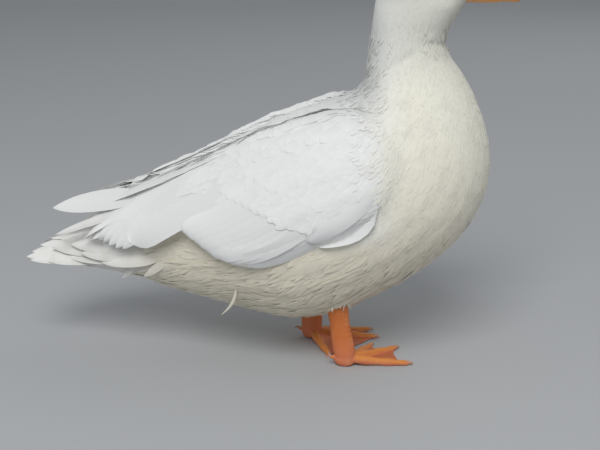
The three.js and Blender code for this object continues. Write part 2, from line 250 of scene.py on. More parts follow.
def nodes_shape(*names):
    """The CAD nodes of those names as (corners, faces)."""
    meshes = [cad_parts[name].data for name in names]
    return joined([(corners_of(mesh), triangles_of(mesh)) for mesh in meshes])


def circle(sides):
    """Angles all the way round."""
    return np.arange(sides) / sides * 2 * np.pi


def ring_loft(rings, step=1):
    """Rings of points, (count, sides, 3), joined into a closed skin. A step of -1 turns its faces over."""
    count, sides = rings.shape[:2]
    cap = list(range(sides))
    faces = [cap[::-step]]
    for ring in range(count - 1):
        for side in range(sides):
            here = ring * sides + side
            beside = ring * sides + (side + 1) % sides
            around = (here, beside, beside + sides, here + sides)
            faces.append([around[k * step % 4] for k in range(4)])
    faces.append([(count - 1) * sides + k for k in cap[::step]])
    return rings.reshape(-1, 3), faces


def new_piece(name, corners, faces):
    mesh = bpy.data.meshes.new(name)
    mesh.from_pydata(np.asarray(corners).tolist(), [], faces)
    mesh.validate()
    return placed(name, mesh)


def settled(piece):
    """Turns a piece's modifiers into plain mesh."""
    bpy.context.view_layer.update()
    old = piece.data
    result = bpy.data.meshes.new_from_object(piece.evaluated_get(bpy.context.evaluated_depsgraph_get()))
    piece.modifiers.clear()
    piece.data = result
    bpy.data.meshes.remove(old)
    result.name = piece.name
    return piece


def remeshed(piece, voxel):
    remesh = piece.modifiers.new("remesh", "REMESH")
    remesh.mode = "VOXEL"
    remesh.voxel_size = voxel
    return settled(piece)


def averaged(values, edges):
    """Each corner's value replaced by the mean of its neighbours'."""
    total = np.zeros_like(values)
    np.add.at(total, edges[:, 0], values[edges[:, 1]])
    np.add.at(total, edges[:, 1], values[edges[:, 0]])
    count = np.bincount(edges.ravel(), minlength=len(values)).astype(float)
    return total / count.reshape((-1,) + (1,) * (values.ndim - 1))


def smoothed(corners, edges, rounds, in_step=0.6, out_step=-0.62):
    """Evens a surface out without shrinking it."""
    for _ in range(rounds):
        for step in (in_step, out_step):
            corners = corners + step * (averaged(corners, edges) - corners)
    return corners


def unit(vectors):
    return vectors / np.maximum(np.linalg.norm(vectors, axis=-1, keepdims=True), 1e-12)


def fade(value, low, high):
    """0 below low, 1 above high, eased between."""
    share = np.clip((value - low) / (high - low), 0, 1)
    return share * share * (3 - 2 * share)


def crease(corners, start, slope, deep, wide, ends):
    """How far a fold of the neck sinks each corner, in millimetres."""
    x, z = corners[:, 0] / MM, corners[:, 2] / MM
    away = (z - start[1] - slope * (x - start[0])) / wide
    along = 1 - fade(math.copysign(1, ends[0]) * x, *ends)
    return deep * np.exp(-away ** 2) * along * (z > CREASE_FLOOR)


x, top, low, half = np.array(RUMP_ROWS, float).T[:, :, None]
turn = circle(RUMP_SIDES)
height = (top + low) / 2 + (top - low) / 2 * np.sin(turn)
rump = np.stack([x + 0 * turn, half * np.cos(turn), height], axis=-1)
outline = new_piece("outline", *joined([nodes_shape(*COAT_NODES), ring_loft(rump * MM, -1)]))
remeshed(outline, VOXEL)
outline_edges = edges_of(outline.data)
outline_corners = smoothed(corners_of(outline.data), outline_edges, SMOOTHINGS)
move_corners(outline.data, outline_corners)
sunk = crease(outline_corners, **NECK_CREASE) + crease(outline_corners, **THROAT_CREASE)
outline_corners = outline_corners - normals_of(outline.data) * sunk[:, None] * MM
move_corners(outline.data, outline_corners)

# ------------------------------------------------------------------------------ the skin
# One skin covers the flesh from the bill to the root of the tail, under the coat. It carries the plumage's
# colours, a creamy white that yellows on breast, belly and vent and is cooler on the wings, so that no dark
# gap shows between tufts.
BODY = "root"
SKIN_DEPTHS = {"head": 0.6 * MM, "neck": 1.1 * MM, "trunk": 2.4 * MM, "wing": 2.0 * MM, "tail": 1.2 * MM}
NECK_Z = 0.207
HEAD_Z = 0.2435
TAIL_THIN = 0.10  # how far back the skin begins to thin towards the tail
WING_BLEND = 1.0 * MM  # half the width over which wing and body run together
CREAM = (0.84, 0.78, 0.635, 1)
# Greyer white from the neck up: partly damp plumage, partly painted shade.
NECK_DAMP_AND_SHADE_GREY = (0.73, 0.725, 0.65, 1)
WHITE = (0.855, 0.845, 0.735, 1)
COOL = (0.86, 0.865, 0.85, 1)
DUSK = (0.68, 0.635, 0.55, 1)
# Painted shade laid on the nape.
NAPE_SHADE_GREY = (0.56, 0.565, 0.54, 1)
BLOTCH = 0.25
draw = np.random.default_rng(11)


def tree_of(*names):
    corners, faces = nodes_shape(*names)
    return BVHTree.FromPolygons(corners.tolist(), faces)


wing_tree = tree_of("wing_right", "wing_left")
body_tree = tree_of("trunk", "neck", "head")


def gaps(tree, points):
    """How far each point is from a surface."""
    return np.array([tree.find_nearest(p)[3] for p in points.tolist()])


def wing_share(points):
    """1 on a wing, 0 on the body."""
    return fade(gaps(body_tree, points) - gaps(wing_tree, points), -WING_BLEND, WING_BLEND)


def skin_depth(points):
    """How deep the skin lies under the tips of the coat on the body."""
    depth = np.full(len(points), SKIN_DEPTHS["trunk"])
    depth += (SKIN_DEPTHS["neck"] - SKIN_DEPTHS["trunk"]) * fade(points[:, 2], NECK_Z - 0.03, NECK_Z)
    depth += (SKIN_DEPTHS["head"] - SKIN_DEPTHS["neck"]) * fade(points[:, 2], HEAD_Z - 0.012, HEAD_Z + 0.008)
    return depth + (SKIN_DEPTHS["tail"] - depth) * fade(-points[:, 0], TAIL_THIN, TAIL_THIN + 0.03)


class Surface:
    """The outline as triangles, with smooth normals, skin depth and the skin's unwrap at any place on it."""

    def __init__(self, piece, skin_mesh, depth):
        self.triangles = triangles_of(skin_mesh)
        loops = read(skin_mesh.loop_triangles, "loops", 3, int)
        self.unwrap = read(skin_mesh.uv_layers["OFBake"].data, "uv", 2)[loops]
        self.corners = corners_of(piece.data)
        self.normals = normals_of(piece.data)
        self.depth = depth
        self.tree = BVHTree.FromPolygons(self.corners.tolist(), self.triangles.tolist())

    def shares(self, places, found):
        """How much of each corner of its triangle a place has."""
        a, b, c = (self.corners[self.triangles[found, k]] for k in range(3))
        whole = np.maximum(np.linalg.norm(np.cross(b - a, c - a), axis=1), 1e-15)
        share_b = np.linalg.norm(np.cross(places - a, c - a), axis=1) / whole
        share_c = np.linalg.norm(np.cross(b - a, places - a), axis=1) / whole
        return np.column_stack([1 - share_b - share_c, share_b, share_c])

    def mixed(self, values, share, found):
        return np.einsum("nk,nkd->nd", share, values[self.triangles[found]])

    def nearest(self, points):
        """Nearest places on the surface and the triangles that hold them."""
        places = np.empty_like(points)
        found = np.empty(len(points), int)
        for i, point in enumerate(points.tolist()):
            places[i], _, found[i], _ = self.tree.find_nearest(point)
        return places, found

    def at(self, points):
        """Nearest places on the surface, and the smooth normals there."""
        places, found = self.nearest(points.reshape(-1, 3))
        normals = unit(self.mixed(self.normals, self.shares(places, found), found))
        return places.reshape(points.shape), normals.reshape(points.shape)

    def unwrap_at(self, points):
        return self.unwrap[self.nearest(points)[1]].mean(1)

    def scatter(self, spacing, keep):
        """Places spread evenly where keep says so, about that far apart: (places, normals, unwrap, depth)."""
        a, b, c = (self.corners[self.triangles[:, k]] for k in range(3))
        area = np.linalg.norm(np.cross(b - a, c - a), axis=1) / 2
        wanted = int(area.sum() / spacing ** 2 * 6)
        found = draw.choice(len(area), wanted, p=area / area.sum())
        share = draw.dirichlet((1, 1, 1), wanted)
        places = self.mixed(self.corners, share, found)
        cells = np.floor(places / spacing).astype(int)
        order = np.argsort(np.linalg.norm(places / spacing - cells - 0.5, axis=1))
        first = order[np.unique(cells[order], axis=0, return_index=True)[1]]
        first = first[keep(places[first])]
        found, share, places = found[first], share[first], places[first]
        normals = unit(self.mixed(self.normals, share, found))
        unwrap = np.einsum("nk,nkd->nd", share, self.unwrap[found])
        depth = np.einsum("nk,nk->n", share, self.depth[self.triangles[found]])
        return places, normals, unwrap, depth


def new_group(kind, name, inputs, output):
    """An empty node group: its nodes, and the nodes of its inputs and of its one output."""
    group = bpy.data.node_groups.new(name, kind)
    for socket_kind, socket, value in inputs:
        made = group.interface.new_socket(socket, in_out="INPUT", socket_type="NodeSocket" + socket_kind)
        if value is not None:
            made.default_value = value
    group.interface.new_socket(output[1], in_out="OUTPUT", socket_type="NodeSocket" + output[0])
    nodes = Nodes(group)
    return nodes, nodes.node("NodeGroupInput").outputs, nodes.node("NodeGroupOutput")


def plumage_markings():
    """Colour of the plumage at a place on the bird: the same for skin, tufts and feathers. Cream grows
    towards the belly and fades towards the tail, and a cooler white begins behind the front of each wing."""
    marks, given, out = new_group(
        "ShaderNodeTree", "plumage_markings",
        [("Color", "Cream", CREAM), ("Color", "White", WHITE), ("Float", "Blotch", BLOTCH),
         ("Float", "Wing", 0.0)],
        ("Color", "Color"))
    where = marks.where()
    place = marks.node("ShaderNodeSeparateXYZ", None, Vector=where).outputs

    def eased(axis, start, end, low=0.0, high=1.0):
        return marks.ranged(place[axis], start, end, low, high, "SMOOTHSTEP")

    low = marks.math("MULTIPLY", eased("Z", 0.19, 0.05, 0.0, 0.9), eased("X", -0.05, -0.11, 1.0, 0.15))
    cloud = marks.math("MULTIPLY_ADD", marks.noise(where, 22, 3), given["Blotch"], low)
    mottle = marks.ranged(marks.noise(where, 95, 4), 0.45, 0.68, 0.0, 0.3, "SMOOTHSTEP")
    body = marks.mixed(mottle, marks.mixed(cloud, given["White"], given["Cream"]), DUSK)
    # From the neck up the white greys, partly for damp plumage and partly as painted shade.
    body = marks.mixed(eased("Z", 0.19, 0.225), body, NECK_DAMP_AND_SHADE_GREY)
    behind = marks.math("MULTIPLY", eased("X", 0.105, 0.06),
                        marks.math("MAXIMUM", eased("Z", 0.09, 0.11), given["Wing"]))
    # The nape is darkened with painted shade.
    nape = marks.math("MULTIPLY", eased("X", 0.09, 0.07, 0.0, 0.75),
                      marks.math("MULTIPLY", eased("Z", 0.165, 0.2), eased("Z", 0.255, 0.225)))
    marks.feed(out, "Color", marks.mixed(nape, marks.mixed(behind, body, COOL), NAPE_SHADE_GREY))
    return marks.tree


markings = plumage_markings()


def skin_finish():
    finish = Finish("skin_under_down", Roughness=0.85, Sheen_Weight=0.1)
    base = finish.node("ShaderNodeGroup", {"node_tree": markings}, Cream=CREAM, White=WHITE, Blotch=BLOTCH)
    pores = finish.node("ShaderNodeTexVoronoi", None, Vector=finish.where(), Scale=420.0)
    return finish.done(base.outputs["Color"], pores.outputs["Distance"], 0.3, 0.4 * MM)


def fitted(piece, material, slot, *nodes):
    """A finished piece gets its material and its body, and the CAD nodes that it stands for are hidden. Its
    slot is not used.
    """
    piece.data.materials.clear()
    piece.data.materials.append(material)
    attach(piece, BODY)
    if nodes:
        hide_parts(*nodes)


depths = skin_depth(outline_corners)
depths += (SKIN_DEPTHS["wing"] - depths) * wing_share(outline_corners)
for _ in range(6):
    depths = averaged(depths, outline_edges)
skin = new_piece("skin", outline_corners, [list(p.vertices) for p in outline.data.polygons])
bpy.context.view_layer.objects.active = skin
skin.select_set(True)
bpy.ops.object.mode_set(mode="EDIT")
bpy.ops.mesh.select_all(action="SELECT")
bpy.ops.uv.smart_project(angle_limit=math.radians(66), island_margin=0.002)
bpy.ops.object.mode_set(mode="OBJECT")
skin.data.uv_layers[0].name = "OFBake"
under_coat = outline_corners - normals_of(outline.data) * depths[:, None]
skin.data.shade_smooth()
move_corners(skin.data, smoothed(under_coat, outline_edges, 4))
surface = Surface(outline, skin.data, depths)
bpy.data.objects.remove(outline)
fitted(skin, skin_finish(), "plumage", *COAT_NODES)

# ------------------------------------------------------------------------------ legs and feet
# Bare leathery skin over bone: a flattened shank folded across where it leaves the feathers, a knuckled heel,
# three long toes joined by webs and a short hind toe. Scutes cross the toes and the front of the shank.
LEGS = {  # places in millimetres, and degrees that each toe turns from straight ahead towards the bird's left
    "right": dict(top=(51.3, -31, 58), ankle=(59.3, -33, 9),
                  toes=dict(outer=5, middle=42, inner=64, hind=190)),
    "left": dict(top=(31, 24, 58), ankle=(31.5, 17, 9),
                 toes=dict(outer=21, middle=2, inner=-66, hind=172)),
}
SHANK_ROWS = [  # share of the way down, half the depth fore and aft, half the width
    (0, 8.8, 6.6), (0.3, 8.0, 5.6), (0.55, 7.0, 4.8), (0.85, 7.7, 5.1), (1, 7.5, 5.4), (1.16, 5.2, 4.2),
]
HEEL_HEIGHT = 4.6
HEEL_RADII = (7.4, 5.4, 5.6)
TOE_LENGTH = dict(outer=45, middle=47.5, inner=40, hind=10)
TOE_RADIUS = dict(outer=3.9, middle=3.9, inner=3.5, hind=2.3)
TOE_RISE = 2.8
HIND_LIFT = 5
WEB_HALF = 0.5
WEB_REACH = 0.95
WEB_HOLLOW = 0.14
LEG_VOXEL = 0.62 * MM
TOE_SCUTE = 2.3 * MM
SHANK_SCUTE = 3.6 * MM
SHANK_FOLD = 2.5 * MM
SCUTE_DEEP = 0.24 * MM
LEG_ORANGE = (0.64, 0.175, 0.038, 1)
LEG_PALE = (0.80, 0.34, 0.15, 1)
LEG_PINK = (0.82, 0.28, 0.17, 1)
WEB_RED = (0.52, 0.14, 0.045, 1)
TOE_YELLOW = (0.72, 0.25, 0.045, 1)


def foot_place(ankle, heading, reach, aside, height):
    turn = np.radians(heading)
    x = ankle[0] + reach * np.cos(turn) - aside * np.sin(turn)
    y = ankle[1] + reach * np.sin(turn) + aside * np.cos(turn)
    return np.stack(np.broadcast_arrays(x, y, height), axis=-1)


def eased_rows(rows, places, at=None):
    """A smooth curve through rows of numbers, read at places from 0 to 1. Rows are evenly spread, or at."""
    rows = np.array(rows, float)
    at = np.linspace(0, 1, len(rows)) if at is None else at
    slope = np.gradient(rows, at, axis=0)
    k = np.clip(np.searchsorted(at, places, "right") - 1, 0, len(rows) - 2)
    span = (at[k + 1] - at[k])[:, None]
    t = (places - at[k])[:, None] / span
    return (
        (1 + 2 * t) * (1 - t) ** 2 * rows[k] + t * (1 - t) ** 2 * span * slope[k]
        + t * t * (3 - 2 * t) * rows[k + 1] + t * t * (t - 1) * span * slope[k + 1]
    )


def toe_shape(ankle, heading, length, thick, lift):
    """A toe swells at its joints and thins to a blunt end."""
    place = np.linspace(0, 1, 26)[:, None]
    turn = circle(18)[None]
    blunt = np.sqrt(np.clip(1 - ((place - 0.9) / 0.12).clip(0) ** 2, 0.02, 1))
    radius = thick * (1 - 0.5 * place) * (1 + 0.1 * np.cos(6 * np.pi * place)) * blunt
    height = lift + thick * (1 - 0.5 * place) * 0.86 + TOE_RISE * (1 - place) ** 3
    height = height + radius * np.sin(turn)
    return ring_loft(foot_place(ankle, heading, length * place, radius * np.cos(turn), height) * MM)


def web_shape(ankle, first, second):
    """A sheet between two (heading, length), hollow at its front edge, that slopes from ankle to ground."""
    share = np.linspace(0, 1, 12)[None]
    out = 0.06 + 0.94 * np.linspace(0, 1, 16)[:, None]
    hollow = WEB_REACH * (1 - WEB_HOLLOW * np.sin(np.pi * share))
    reach = (first[1] + (second[1] - first[1]) * share) * hollow * out
    heading = first[0] + (second[0] - first[0]) * share
    ripple = 0.35 * np.sin(share * np.pi * 5) * out * np.sin(np.pi * share)
    height = 1.0 + 5 * (1 - out) ** 2 + ripple + 0 * reach
    over = foot_place(ankle, heading, reach, 0, height + WEB_HALF)
    under = foot_place(ankle, heading, reach, 0, height - WEB_HALF)[:, ::-1]
    return ring_loft(np.concatenate([over, under], axis=1) * MM)


def shank_shape(top, ankle):
    rows = np.array(SHANK_ROWS)
    share, deep, wide = eased_rows(rows, np.linspace(0, 1, 30), rows[:, 0] / rows[-1, 0]).T[:, :, None]
    turn = circle(26)
    centre = np.array(top) + (np.array(ankle) - np.array(top)) * share
    ring = np.stack([deep * np.cos(turn), wide * np.sin(turn), 0 * deep * turn], axis=-1)
    return ring_loft((centre[:, None] + ring)[::-1] * MM)


def heel_shape(ankle, rings=14, sides=20):
    low = np.linspace(-1, 1, rings + 2)[1:-1, None] * np.pi / 2 * 0.999
    turn = circle(sides)
    ball = np.stack([np.cos(low) * np.cos(turn), np.cos(low) * np.sin(turn), np.sin(low) + 0 * turn], axis=-1)
    return ring_loft((np.array((*ankle[:2], HEEL_HEIGHT)) + ball * HEEL_RADII) * MM)


def plates(distance, period):
    """0 on a row of plates, 1 in the narrow grooves between them."""
    return np.abs(2 * np.mod(distance / period, 1) - 1) ** 7


def mark(mesh, name, values):
    """Stores one number for each corner, for a material to read."""
    mesh.attributes.new(name, "FLOAT", "POINT").data.foreach_set("value", values)


def leg_piece(name, top, ankle, toes):
    shapes = [shank_shape(top, ankle), heel_shape(ankle)]
    shapes += [toe_shape(ankle, heading, TOE_LENGTH[toe], TOE_RADIUS[toe], HIND_LIFT if toe == "hind" else 0)
               for toe, heading in toes.items()]
    outer, middle, inner = [(toes[toe], TOE_LENGTH[toe]) for toe in ("outer", "middle", "inner")]
    shapes += [web_shape(ankle, outer, middle), web_shape(ankle, middle, inner)]
    piece = remeshed(new_piece(name, *joined(shapes)), LEG_VOXEL)
    corners = smoothed(corners_of(piece.data), edges_of(piece.data), 7)
    move_corners(piece.data, corners)
    normals = normals_of(piece.data)
    from_ankle = corners - np.array(ankle) * MM
    up_shank = from_ankle @ unit((np.array(top) - np.array(ankle)) * MM)
    wavy = up_shank + 0.4 * MM * np.sin(corners[:, 1] * 900)
    on_front = fade(normals[:, 0], 0.15, 0.6) * fade(corners[:, 2], 0.014, 0.02)
    folds = plates(wavy * 1.02 + from_ankle[:, 0] * 0.12, SHANK_FOLD) * fade(corners[:, 2], 0.034, 0.041)
    groove = np.maximum(plates(wavy, SHANK_SCUTE) * on_front, 0.9 * folds)
    toe_top = np.zeros(len(corners))
    for toe, heading in toes.items():
        turn = math.radians(heading)
        reach = from_ankle[:, 0] * math.cos(turn) + from_ankle[:, 1] * math.sin(turn)
        aside = from_ankle[:, 1] * math.cos(turn) - from_ankle[:, 0] * math.sin(turn)
        wide = TOE_RADIUS[toe] * MM * (1 - 0.5 * np.clip(reach / (TOE_LENGTH[toe] * MM), 0, 1))
        near = fade(-np.abs(aside) / wide, -1.15, -0.85) * fade(reach, 0.006, 0.009)
        near = near * fade(normals[:, 2], -0.1, 0.25) * fade(-corners[:, 2], -0.013, -0.010)
        groove = np.maximum(groove, plates(reach + 0.5 * MM * (aside / wide) ** 2, TOE_SCUTE) * near)
        toe_top = np.maximum(toe_top, near)
    corners = corners - normals * (groove * SCUTE_DEEP)[:, None]
    corners[:, 2] = np.maximum(corners[:, 2], 0)
    piece.data.vertices.foreach_set("co", corners.ravel())
    mark(piece.data, "groove", groove)
    mark(piece.data, "web", fade(-corners[:, 2], -0.0032, -0.0022) * fade(np.abs(normals[:, 2]), 0.6, 0.9))
    mark(piece.data, "toe", toe_top)
    piece.data.shade_smooth()
    piece.data.update()
    return piece


def leg_finish():
    """Orange skin in tiny scales, paler in the grooves, dull red on the webs and pink at the joints."""
    finish = Finish("leg_skin", Roughness=0.5, Specular_IOR_Level=0.45, Subsurface_Weight=0.05,
                    Subsurface_Radius=(0.004, 0.0015, 0.0008))
    where = finish.where()
    patches = finish.noise(where, 90, 4)
    low = finish.ranged(finish.node("ShaderNodeSeparateXYZ", None, Vector=where).outputs["Z"], 0.022, 0.006)
    orange = finish.mixed(finish.math("MULTIPLY", low, patches), LEG_ORANGE, LEG_PINK)
    orange = finish.mixed(finish.ranged(patches, 0.52, 0.7, 0.0, 0.45), orange, LEG_PALE)
    orange = finish.mixed(finish.attribute("web"), orange, WEB_RED)
    orange = finish.mixed(finish.attribute("toe"), orange, TOE_YELLOW)
    orange = finish.mixed(finish.math("MULTIPLY", finish.attribute("groove"), 0.55), orange, LEG_PALE)
    finish.feed(finish.shader, "Roughness", finish.ranged(patches, 0.0, 1.0, 0.38, 0.6))
    scales = finish.node("ShaderNodeTexVoronoi", {"feature": "DISTANCE_TO_EDGE"}, Vector=where, Scale=760.0)
    return finish.done(orange, finish.ranged(scales.outputs["Distance"], 0.0, 0.12), 0.55, 0.25 * MM)


leg_material = leg_finish()
for side, leg in LEGS.items():
    fitted(leg_piece(f"leg_{side}", **leg), leg_material, "leg_skin", f"shank_{side}", f"foot_{side}")

# ------------------------------------------------------------------------------ claws
# Short curved claws of pale horn, one growing out of the end of each toe, mottled pink and tan.
CLAW_LENGTH = 3.2
CLAW_SUNK = 1.2  # how far back its root reaches into the toe
CLAW_SHARE = 0.38
CLAW_PINK = (0.46, 0.19, 0.11, 1)
CLAW_TAN = (0.66, 0.38, 0.26, 1)


def ramped(finish, factor, stops):
    """Colours blended along a factor, from stops of (position, colour)."""
    ramp = finish.node("ShaderNodeValToRGB", None, Fac=factor)
    for k, (position, colour) in enumerate(stops):
        made = ramp.color_ramp.elements[k] if k < 2 else ramp.color_ramp.elements.new(position)
        made.position = position
        made.color = colour
    return ramp.outputs["Color"]


def claw_finish():
    finish = Finish("claw_horn", Roughness=0.35, Specular_IOR_Level=0.5)
    growth = finish.noise(finish.where(), 600, 3)
    return finish.done(ramped(finish, growth, [(0.3, CLAW_PINK), (0.7, CLAW_TAN)]), growth, 0.3)


def claw_shape(ankle, heading, toe):
    place = np.linspace(0, 1, 10)[:, None]
    turn = circle(12)[None]
    radius = TOE_RADIUS[toe] * CLAW_SHARE * (1 - place) ** 0.45 + 0.15
    reach = TOE_LENGTH[toe] - CLAW_SUNK + (CLAW_LENGTH + CLAW_SUNK) * place
    lift = HIND_LIFT if toe == "hind" else 0
    height = lift + 1.9 + 0.4 * np.sin(np.pi * place) - 0.8 * place ** 2 + radius * np.sin(turn)
    height = np.maximum(height, 0.05)
    return ring_loft(foot_place(ankle, heading, reach, 0.75 * radius * np.cos(turn), height) * MM)


claw_material = claw_finish()
for side, leg in LEGS.items():
    shapes = [claw_shape(leg["ankle"], heading, toe) for toe, heading in leg["toes"].items()]
    claws = new_piece(f"claws_{side}", *joined(shapes))
    claws.data.shade_smooth()
    fitted(claws, claw_material, "claw", *[f"claw_{side}_{toe}" for toe in leg["toes"]])

# ------------------------------------------------------------------------------ the bill
# A flat broad bill of orange horn under thin skin, in two halves. The upper one carries the nostrils near its
# root, a rounded nail at its tip and rows of fine combs along the inside of its edges.
SIDES = {"right": -1, "left": 1}  # the way each side lies from the middle, along y
UPPER_ROWS = [  # x, ridge, edge along the gape, half width, in millimetres
    (133.0, 273.5, 258.8, 10.6), (136.8, 271.2, 258.0, 11.4), (142.5, 266.6, 256.6, 10.9),
    (150.5, 262.2, 255.0, 10.6), (159.5, 260.2, 253.8, 11.6), (166.5, 259.4, 252.6, 11.9),
    (170.8, 258.0, 251.3, 9.6), (172.6, 256.4, 251.2, 6.4), (173.4, 254.6, 251.4, 2.2),
]
LOWER_ROWS = [
    (133.0, 248.6, 258.2, 9.0), (136.8, 248.6, 257.3, 9.6), (142.5, 248.6, 256.0, 9.4),
    (150.5, 248.6, 254.4, 9.2), (159.5, 249.4, 253.2, 9.8), (166.5, 249.2, 252.0, 8.6),
    (169.2, 249.4, 251.4, 5.2), (170.2, 250.0, 251.2, 1.6),
]
UPPER_HOLLOW = 1.6
LOWER_HOLLOW = -1.2
BILL_RINGS = 84
BILL_ARC = 56
NOSTRIL = dict(x=147.5, z=261.2, long=2.7, high=1.0, deep=1.3, slope=0.22)
NAIL = dict(x=169.8, long=4.6, wide=4.6, rise=0.35)
CREASE_X = [133, 150, 166, 173]  # the fold between the bill's ridge and its sides: x, and half width there
CREASE_HALF = [11, 10, 11.5, 6]
BILL_ORANGE = (0.80, 0.36, 0.075, 1)
BILL_PINK = (0.72, 0.36, 0.20, 1)
BILL_NAIL = (0.82, 0.56, 0.36, 1)
# Near black painted into the nostrils as the shade inside their openings.
NOSTRIL_PAINTED_SHADE = (0.05, 0.018, 0.01, 1)
COMB_COUNT = 32
COMB_SIZE = (0.2 * MM, 0.5 * MM, 1.0 * MM)
COMB_REACH = (0.14, 0.7)  # from root to tip of the bill
COMB_INSET = 1.1
COMB_LINE = 40  # points along the line that the combs stand on


def bill_half(name, rows, hollow):
    """One half of the bill: an arched outer side and a hollowed inner side, closed at both ends."""
    x, ridge, edge, half = eased_rows(rows, np.linspace(0, 1, BILL_RINGS)).T[:, :, None]
    turn = np.linspace(0, np.pi, BILL_ARC)[None]
    back = turn[:, 1:-1][:, ::-1]
    arch = edge + (ridge - edge) * np.sin(turn) ** 0.8
    vault = edge + hollow * np.sin(back) ** 0.6 * (ridge - edge) / 10
    outer = np.stack(np.broadcast_arrays(x, half * np.cos(turn), arch), axis=-1)
    inner = np.stack(np.broadcast_arrays(x, half * 0.94 * np.cos(back), vault), axis=-1)
    rings = np.concatenate([outer, inner], axis=1)
    return new_piece(name, *ring_loft(rings[:, ::-1] * MM if hollow > 0 else rings * MM))


def shape_upper_bill(mesh):
    """Sinks the nostrils and the fold beside the ridge, and raises the nail."""
    corners = corners_of(mesh)
    x, y, z = corners.T / MM
    ahead = x - NOSTRIL["x"]
    above = z - NOSTRIL["z"] + NOSTRIL["slope"] * ahead
    pit = np.exp(-(ahead / NOSTRIL["long"]) ** 4 - (above / NOSTRIL["high"]) ** 4)
    rim = np.exp(-(ahead / (NOSTRIL["long"] + 1.1)) ** 4 - (above / (NOSTRIL["high"] + 0.9)) ** 4)
    ellipse = ((x - NAIL["x"]) / NAIL["long"]) ** 2 + (y / NAIL["wide"]) ** 2
    nail = fade(-ellipse, -1.0, -0.8) * fade(z, 251.8, 253.5)
    nail_line = np.exp(-((ellipse - 1) / 0.16) ** 2) * fade(z, 252.2, 253.6)
    fold = np.exp(-((np.abs(y) - 0.52 * np.interp(x, CREASE_X, CREASE_HALF)) / 1.0) ** 2)
    fold = fold * fade(x, 146, 152) * fade(-x, -168, -162) * (z > 253.5)
    rise = -NOSTRIL["deep"] * pit + 0.28 * (rim - pit) + NAIL["rise"] * nail - 0.14 * nail_line - 0.22 * fold
    mesh.vertices.foreach_set("co", (corners + normals_of(mesh) * rise[:, None] * MM).ravel())
    mark(mesh, "nail", nail)


def turn_outwards(mesh):
    shell = bmesh.new()
    shell.from_mesh(mesh)
    bmesh.ops.remove_doubles(shell, verts=shell.verts, dist=1e-7)
    bmesh.ops.recalc_face_normals(shell, faces=shell.faces)
    shell.to_mesh(mesh)
    shell.free()


def bill_finish():
    """Mottled orange horn, pinker at the root, with a pale nail and painted shade near black in the nostrils.
    """
    finish = Finish("bill_horn", Roughness=0.48, Specular_IOR_Level=0.45, Subsurface_Weight=0.06,
                    Subsurface_Radius=(0.003, 0.001, 0.0005))
    where = finish.where()
    cloud = finish.ranged(finish.noise(where, 110, 5, Roughness=0.6), 0.35, 0.75, 0.0, 0.55)
    x_place = finish.node("ShaderNodeSeparateXYZ", None, Vector=where).outputs["X"]
    opening = finish.node("ShaderNodeMapping", {"vector_type": "TEXTURE"}, Vector=where,
                          Location=(NOSTRIL["x"] * MM, 0, NOSTRIL["z"] * MM),
                          Rotation=(0, math.atan(NOSTRIL["slope"]), 0),
                          Scale=(NOSTRIL["long"] * MM, 1.0, NOSTRIL["high"] * 0.85 * MM))
    off_centre = finish.node("ShaderNodeVectorMath", {"operation": "LENGTH"}, Vector=opening.outputs[0])
    colour = finish.mixed(cloud, BILL_ORANGE, BILL_PINK)
    colour = finish.mixed(finish.ranged(x_place, 0.150, 0.134, 0.0, 0.8), colour, BILL_PINK)
    colour = finish.mixed(finish.attribute("nail"), colour, BILL_NAIL)
    # The nostrils are painted near black as painted shade, standing in for the depth of their openings.
    colour = finish.mixed(finish.ranged(off_centre.outputs["Value"], 1.08, 0.86), colour, NOSTRIL_PAINTED_SHADE)
    return finish.done(colour, finish.noise(where, 1500, 2), 0.18)


def comb_tree():
    """Upright combs set evenly along a line, turned to follow it."""
    combs, given, out = new_group(
        "GeometryNodeTree", "bill_combs",
        [("Geometry", "Line", None), ("Int", "Count", COMB_COUNT), ("Vector", "Size", COMB_SIZE),
         ("Material", "Horn", None)],
        ("Geometry", "Combs"))
    node = combs.node
    curve = node("GeometryNodeMeshToCurve", None, Mesh=given["Line"])
    even = node("GeometryNodeResampleCurve", None, Curve=curve.outputs[0], Count=given["Count"])
    turn = node("FunctionNodeAlignRotationToVector", {"axis": "X", "pivot_axis": "Z"},
                Vector=node("GeometryNodeInputTangent").outputs[0])
    comb = node("GeometryNodeMeshUVSphere", None, Segments=8, Rings=6, Radius=1.0)
    spread = node("GeometryNodeInstanceOnPoints", None, Points=even.outputs[0], Instance=comb.outputs["Mesh"],
                  Rotation=turn.outputs[0], Scale=given["Size"])
    real = node("GeometryNodeRealizeInstances", None, Geometry=spread.outputs[0])
    horn = node("GeometryNodeSetMaterial", None, Geometry=real.outputs[0], Material=given["Horn"])
    combs.feed(out, "Combs", horn.outputs[0])
    return combs.tree


bill_upper = bill_half("bill_upper_horn", UPPER_ROWS, UPPER_HOLLOW)
shape_upper_bill(bill_upper.data)
bill_lower = bill_half("bill_lower_horn", LOWER_ROWS, LOWER_HOLLOW)
bill_material = bill_finish()
for piece, node in ((bill_upper, "bill_upper"), (bill_lower, "bill_lower")):
    turn_outwards(piece.data)
    piece.data.shade_smooth()
    fitted(piece, bill_material, "bill", node)

combs = comb_tree()
sockets = {item.name: item.identifier for item in combs.interface.items_tree if item.in_out == "INPUT"}
for side, flank in SIDES.items():
    x, _, edge, half = eased_rows(UPPER_ROWS, np.linspace(*COMB_REACH, COMB_LINE)).T
    line = np.column_stack([x, flank * (half - COMB_INSET), edge + 0.1]) * MM
    row = bpy.data.meshes.new(f"bill_combs_{side}")
    row.from_pydata(line.tolist(), [(i, i + 1) for i in range(len(line) - 1)], [])
    row = placed(row.name, row)
    grown = row.modifiers.new("combs", "NODES")
    grown.node_group = combs
    grown[sockets["Count"]] = COMB_COUNT
    grown[sockets["Size"]] = COMB_SIZE
    grown[sockets["Horn"]] = bill_material
    settled(row)
    row.data.shade_smooth()
    fitted(row, bill_material, "bill")

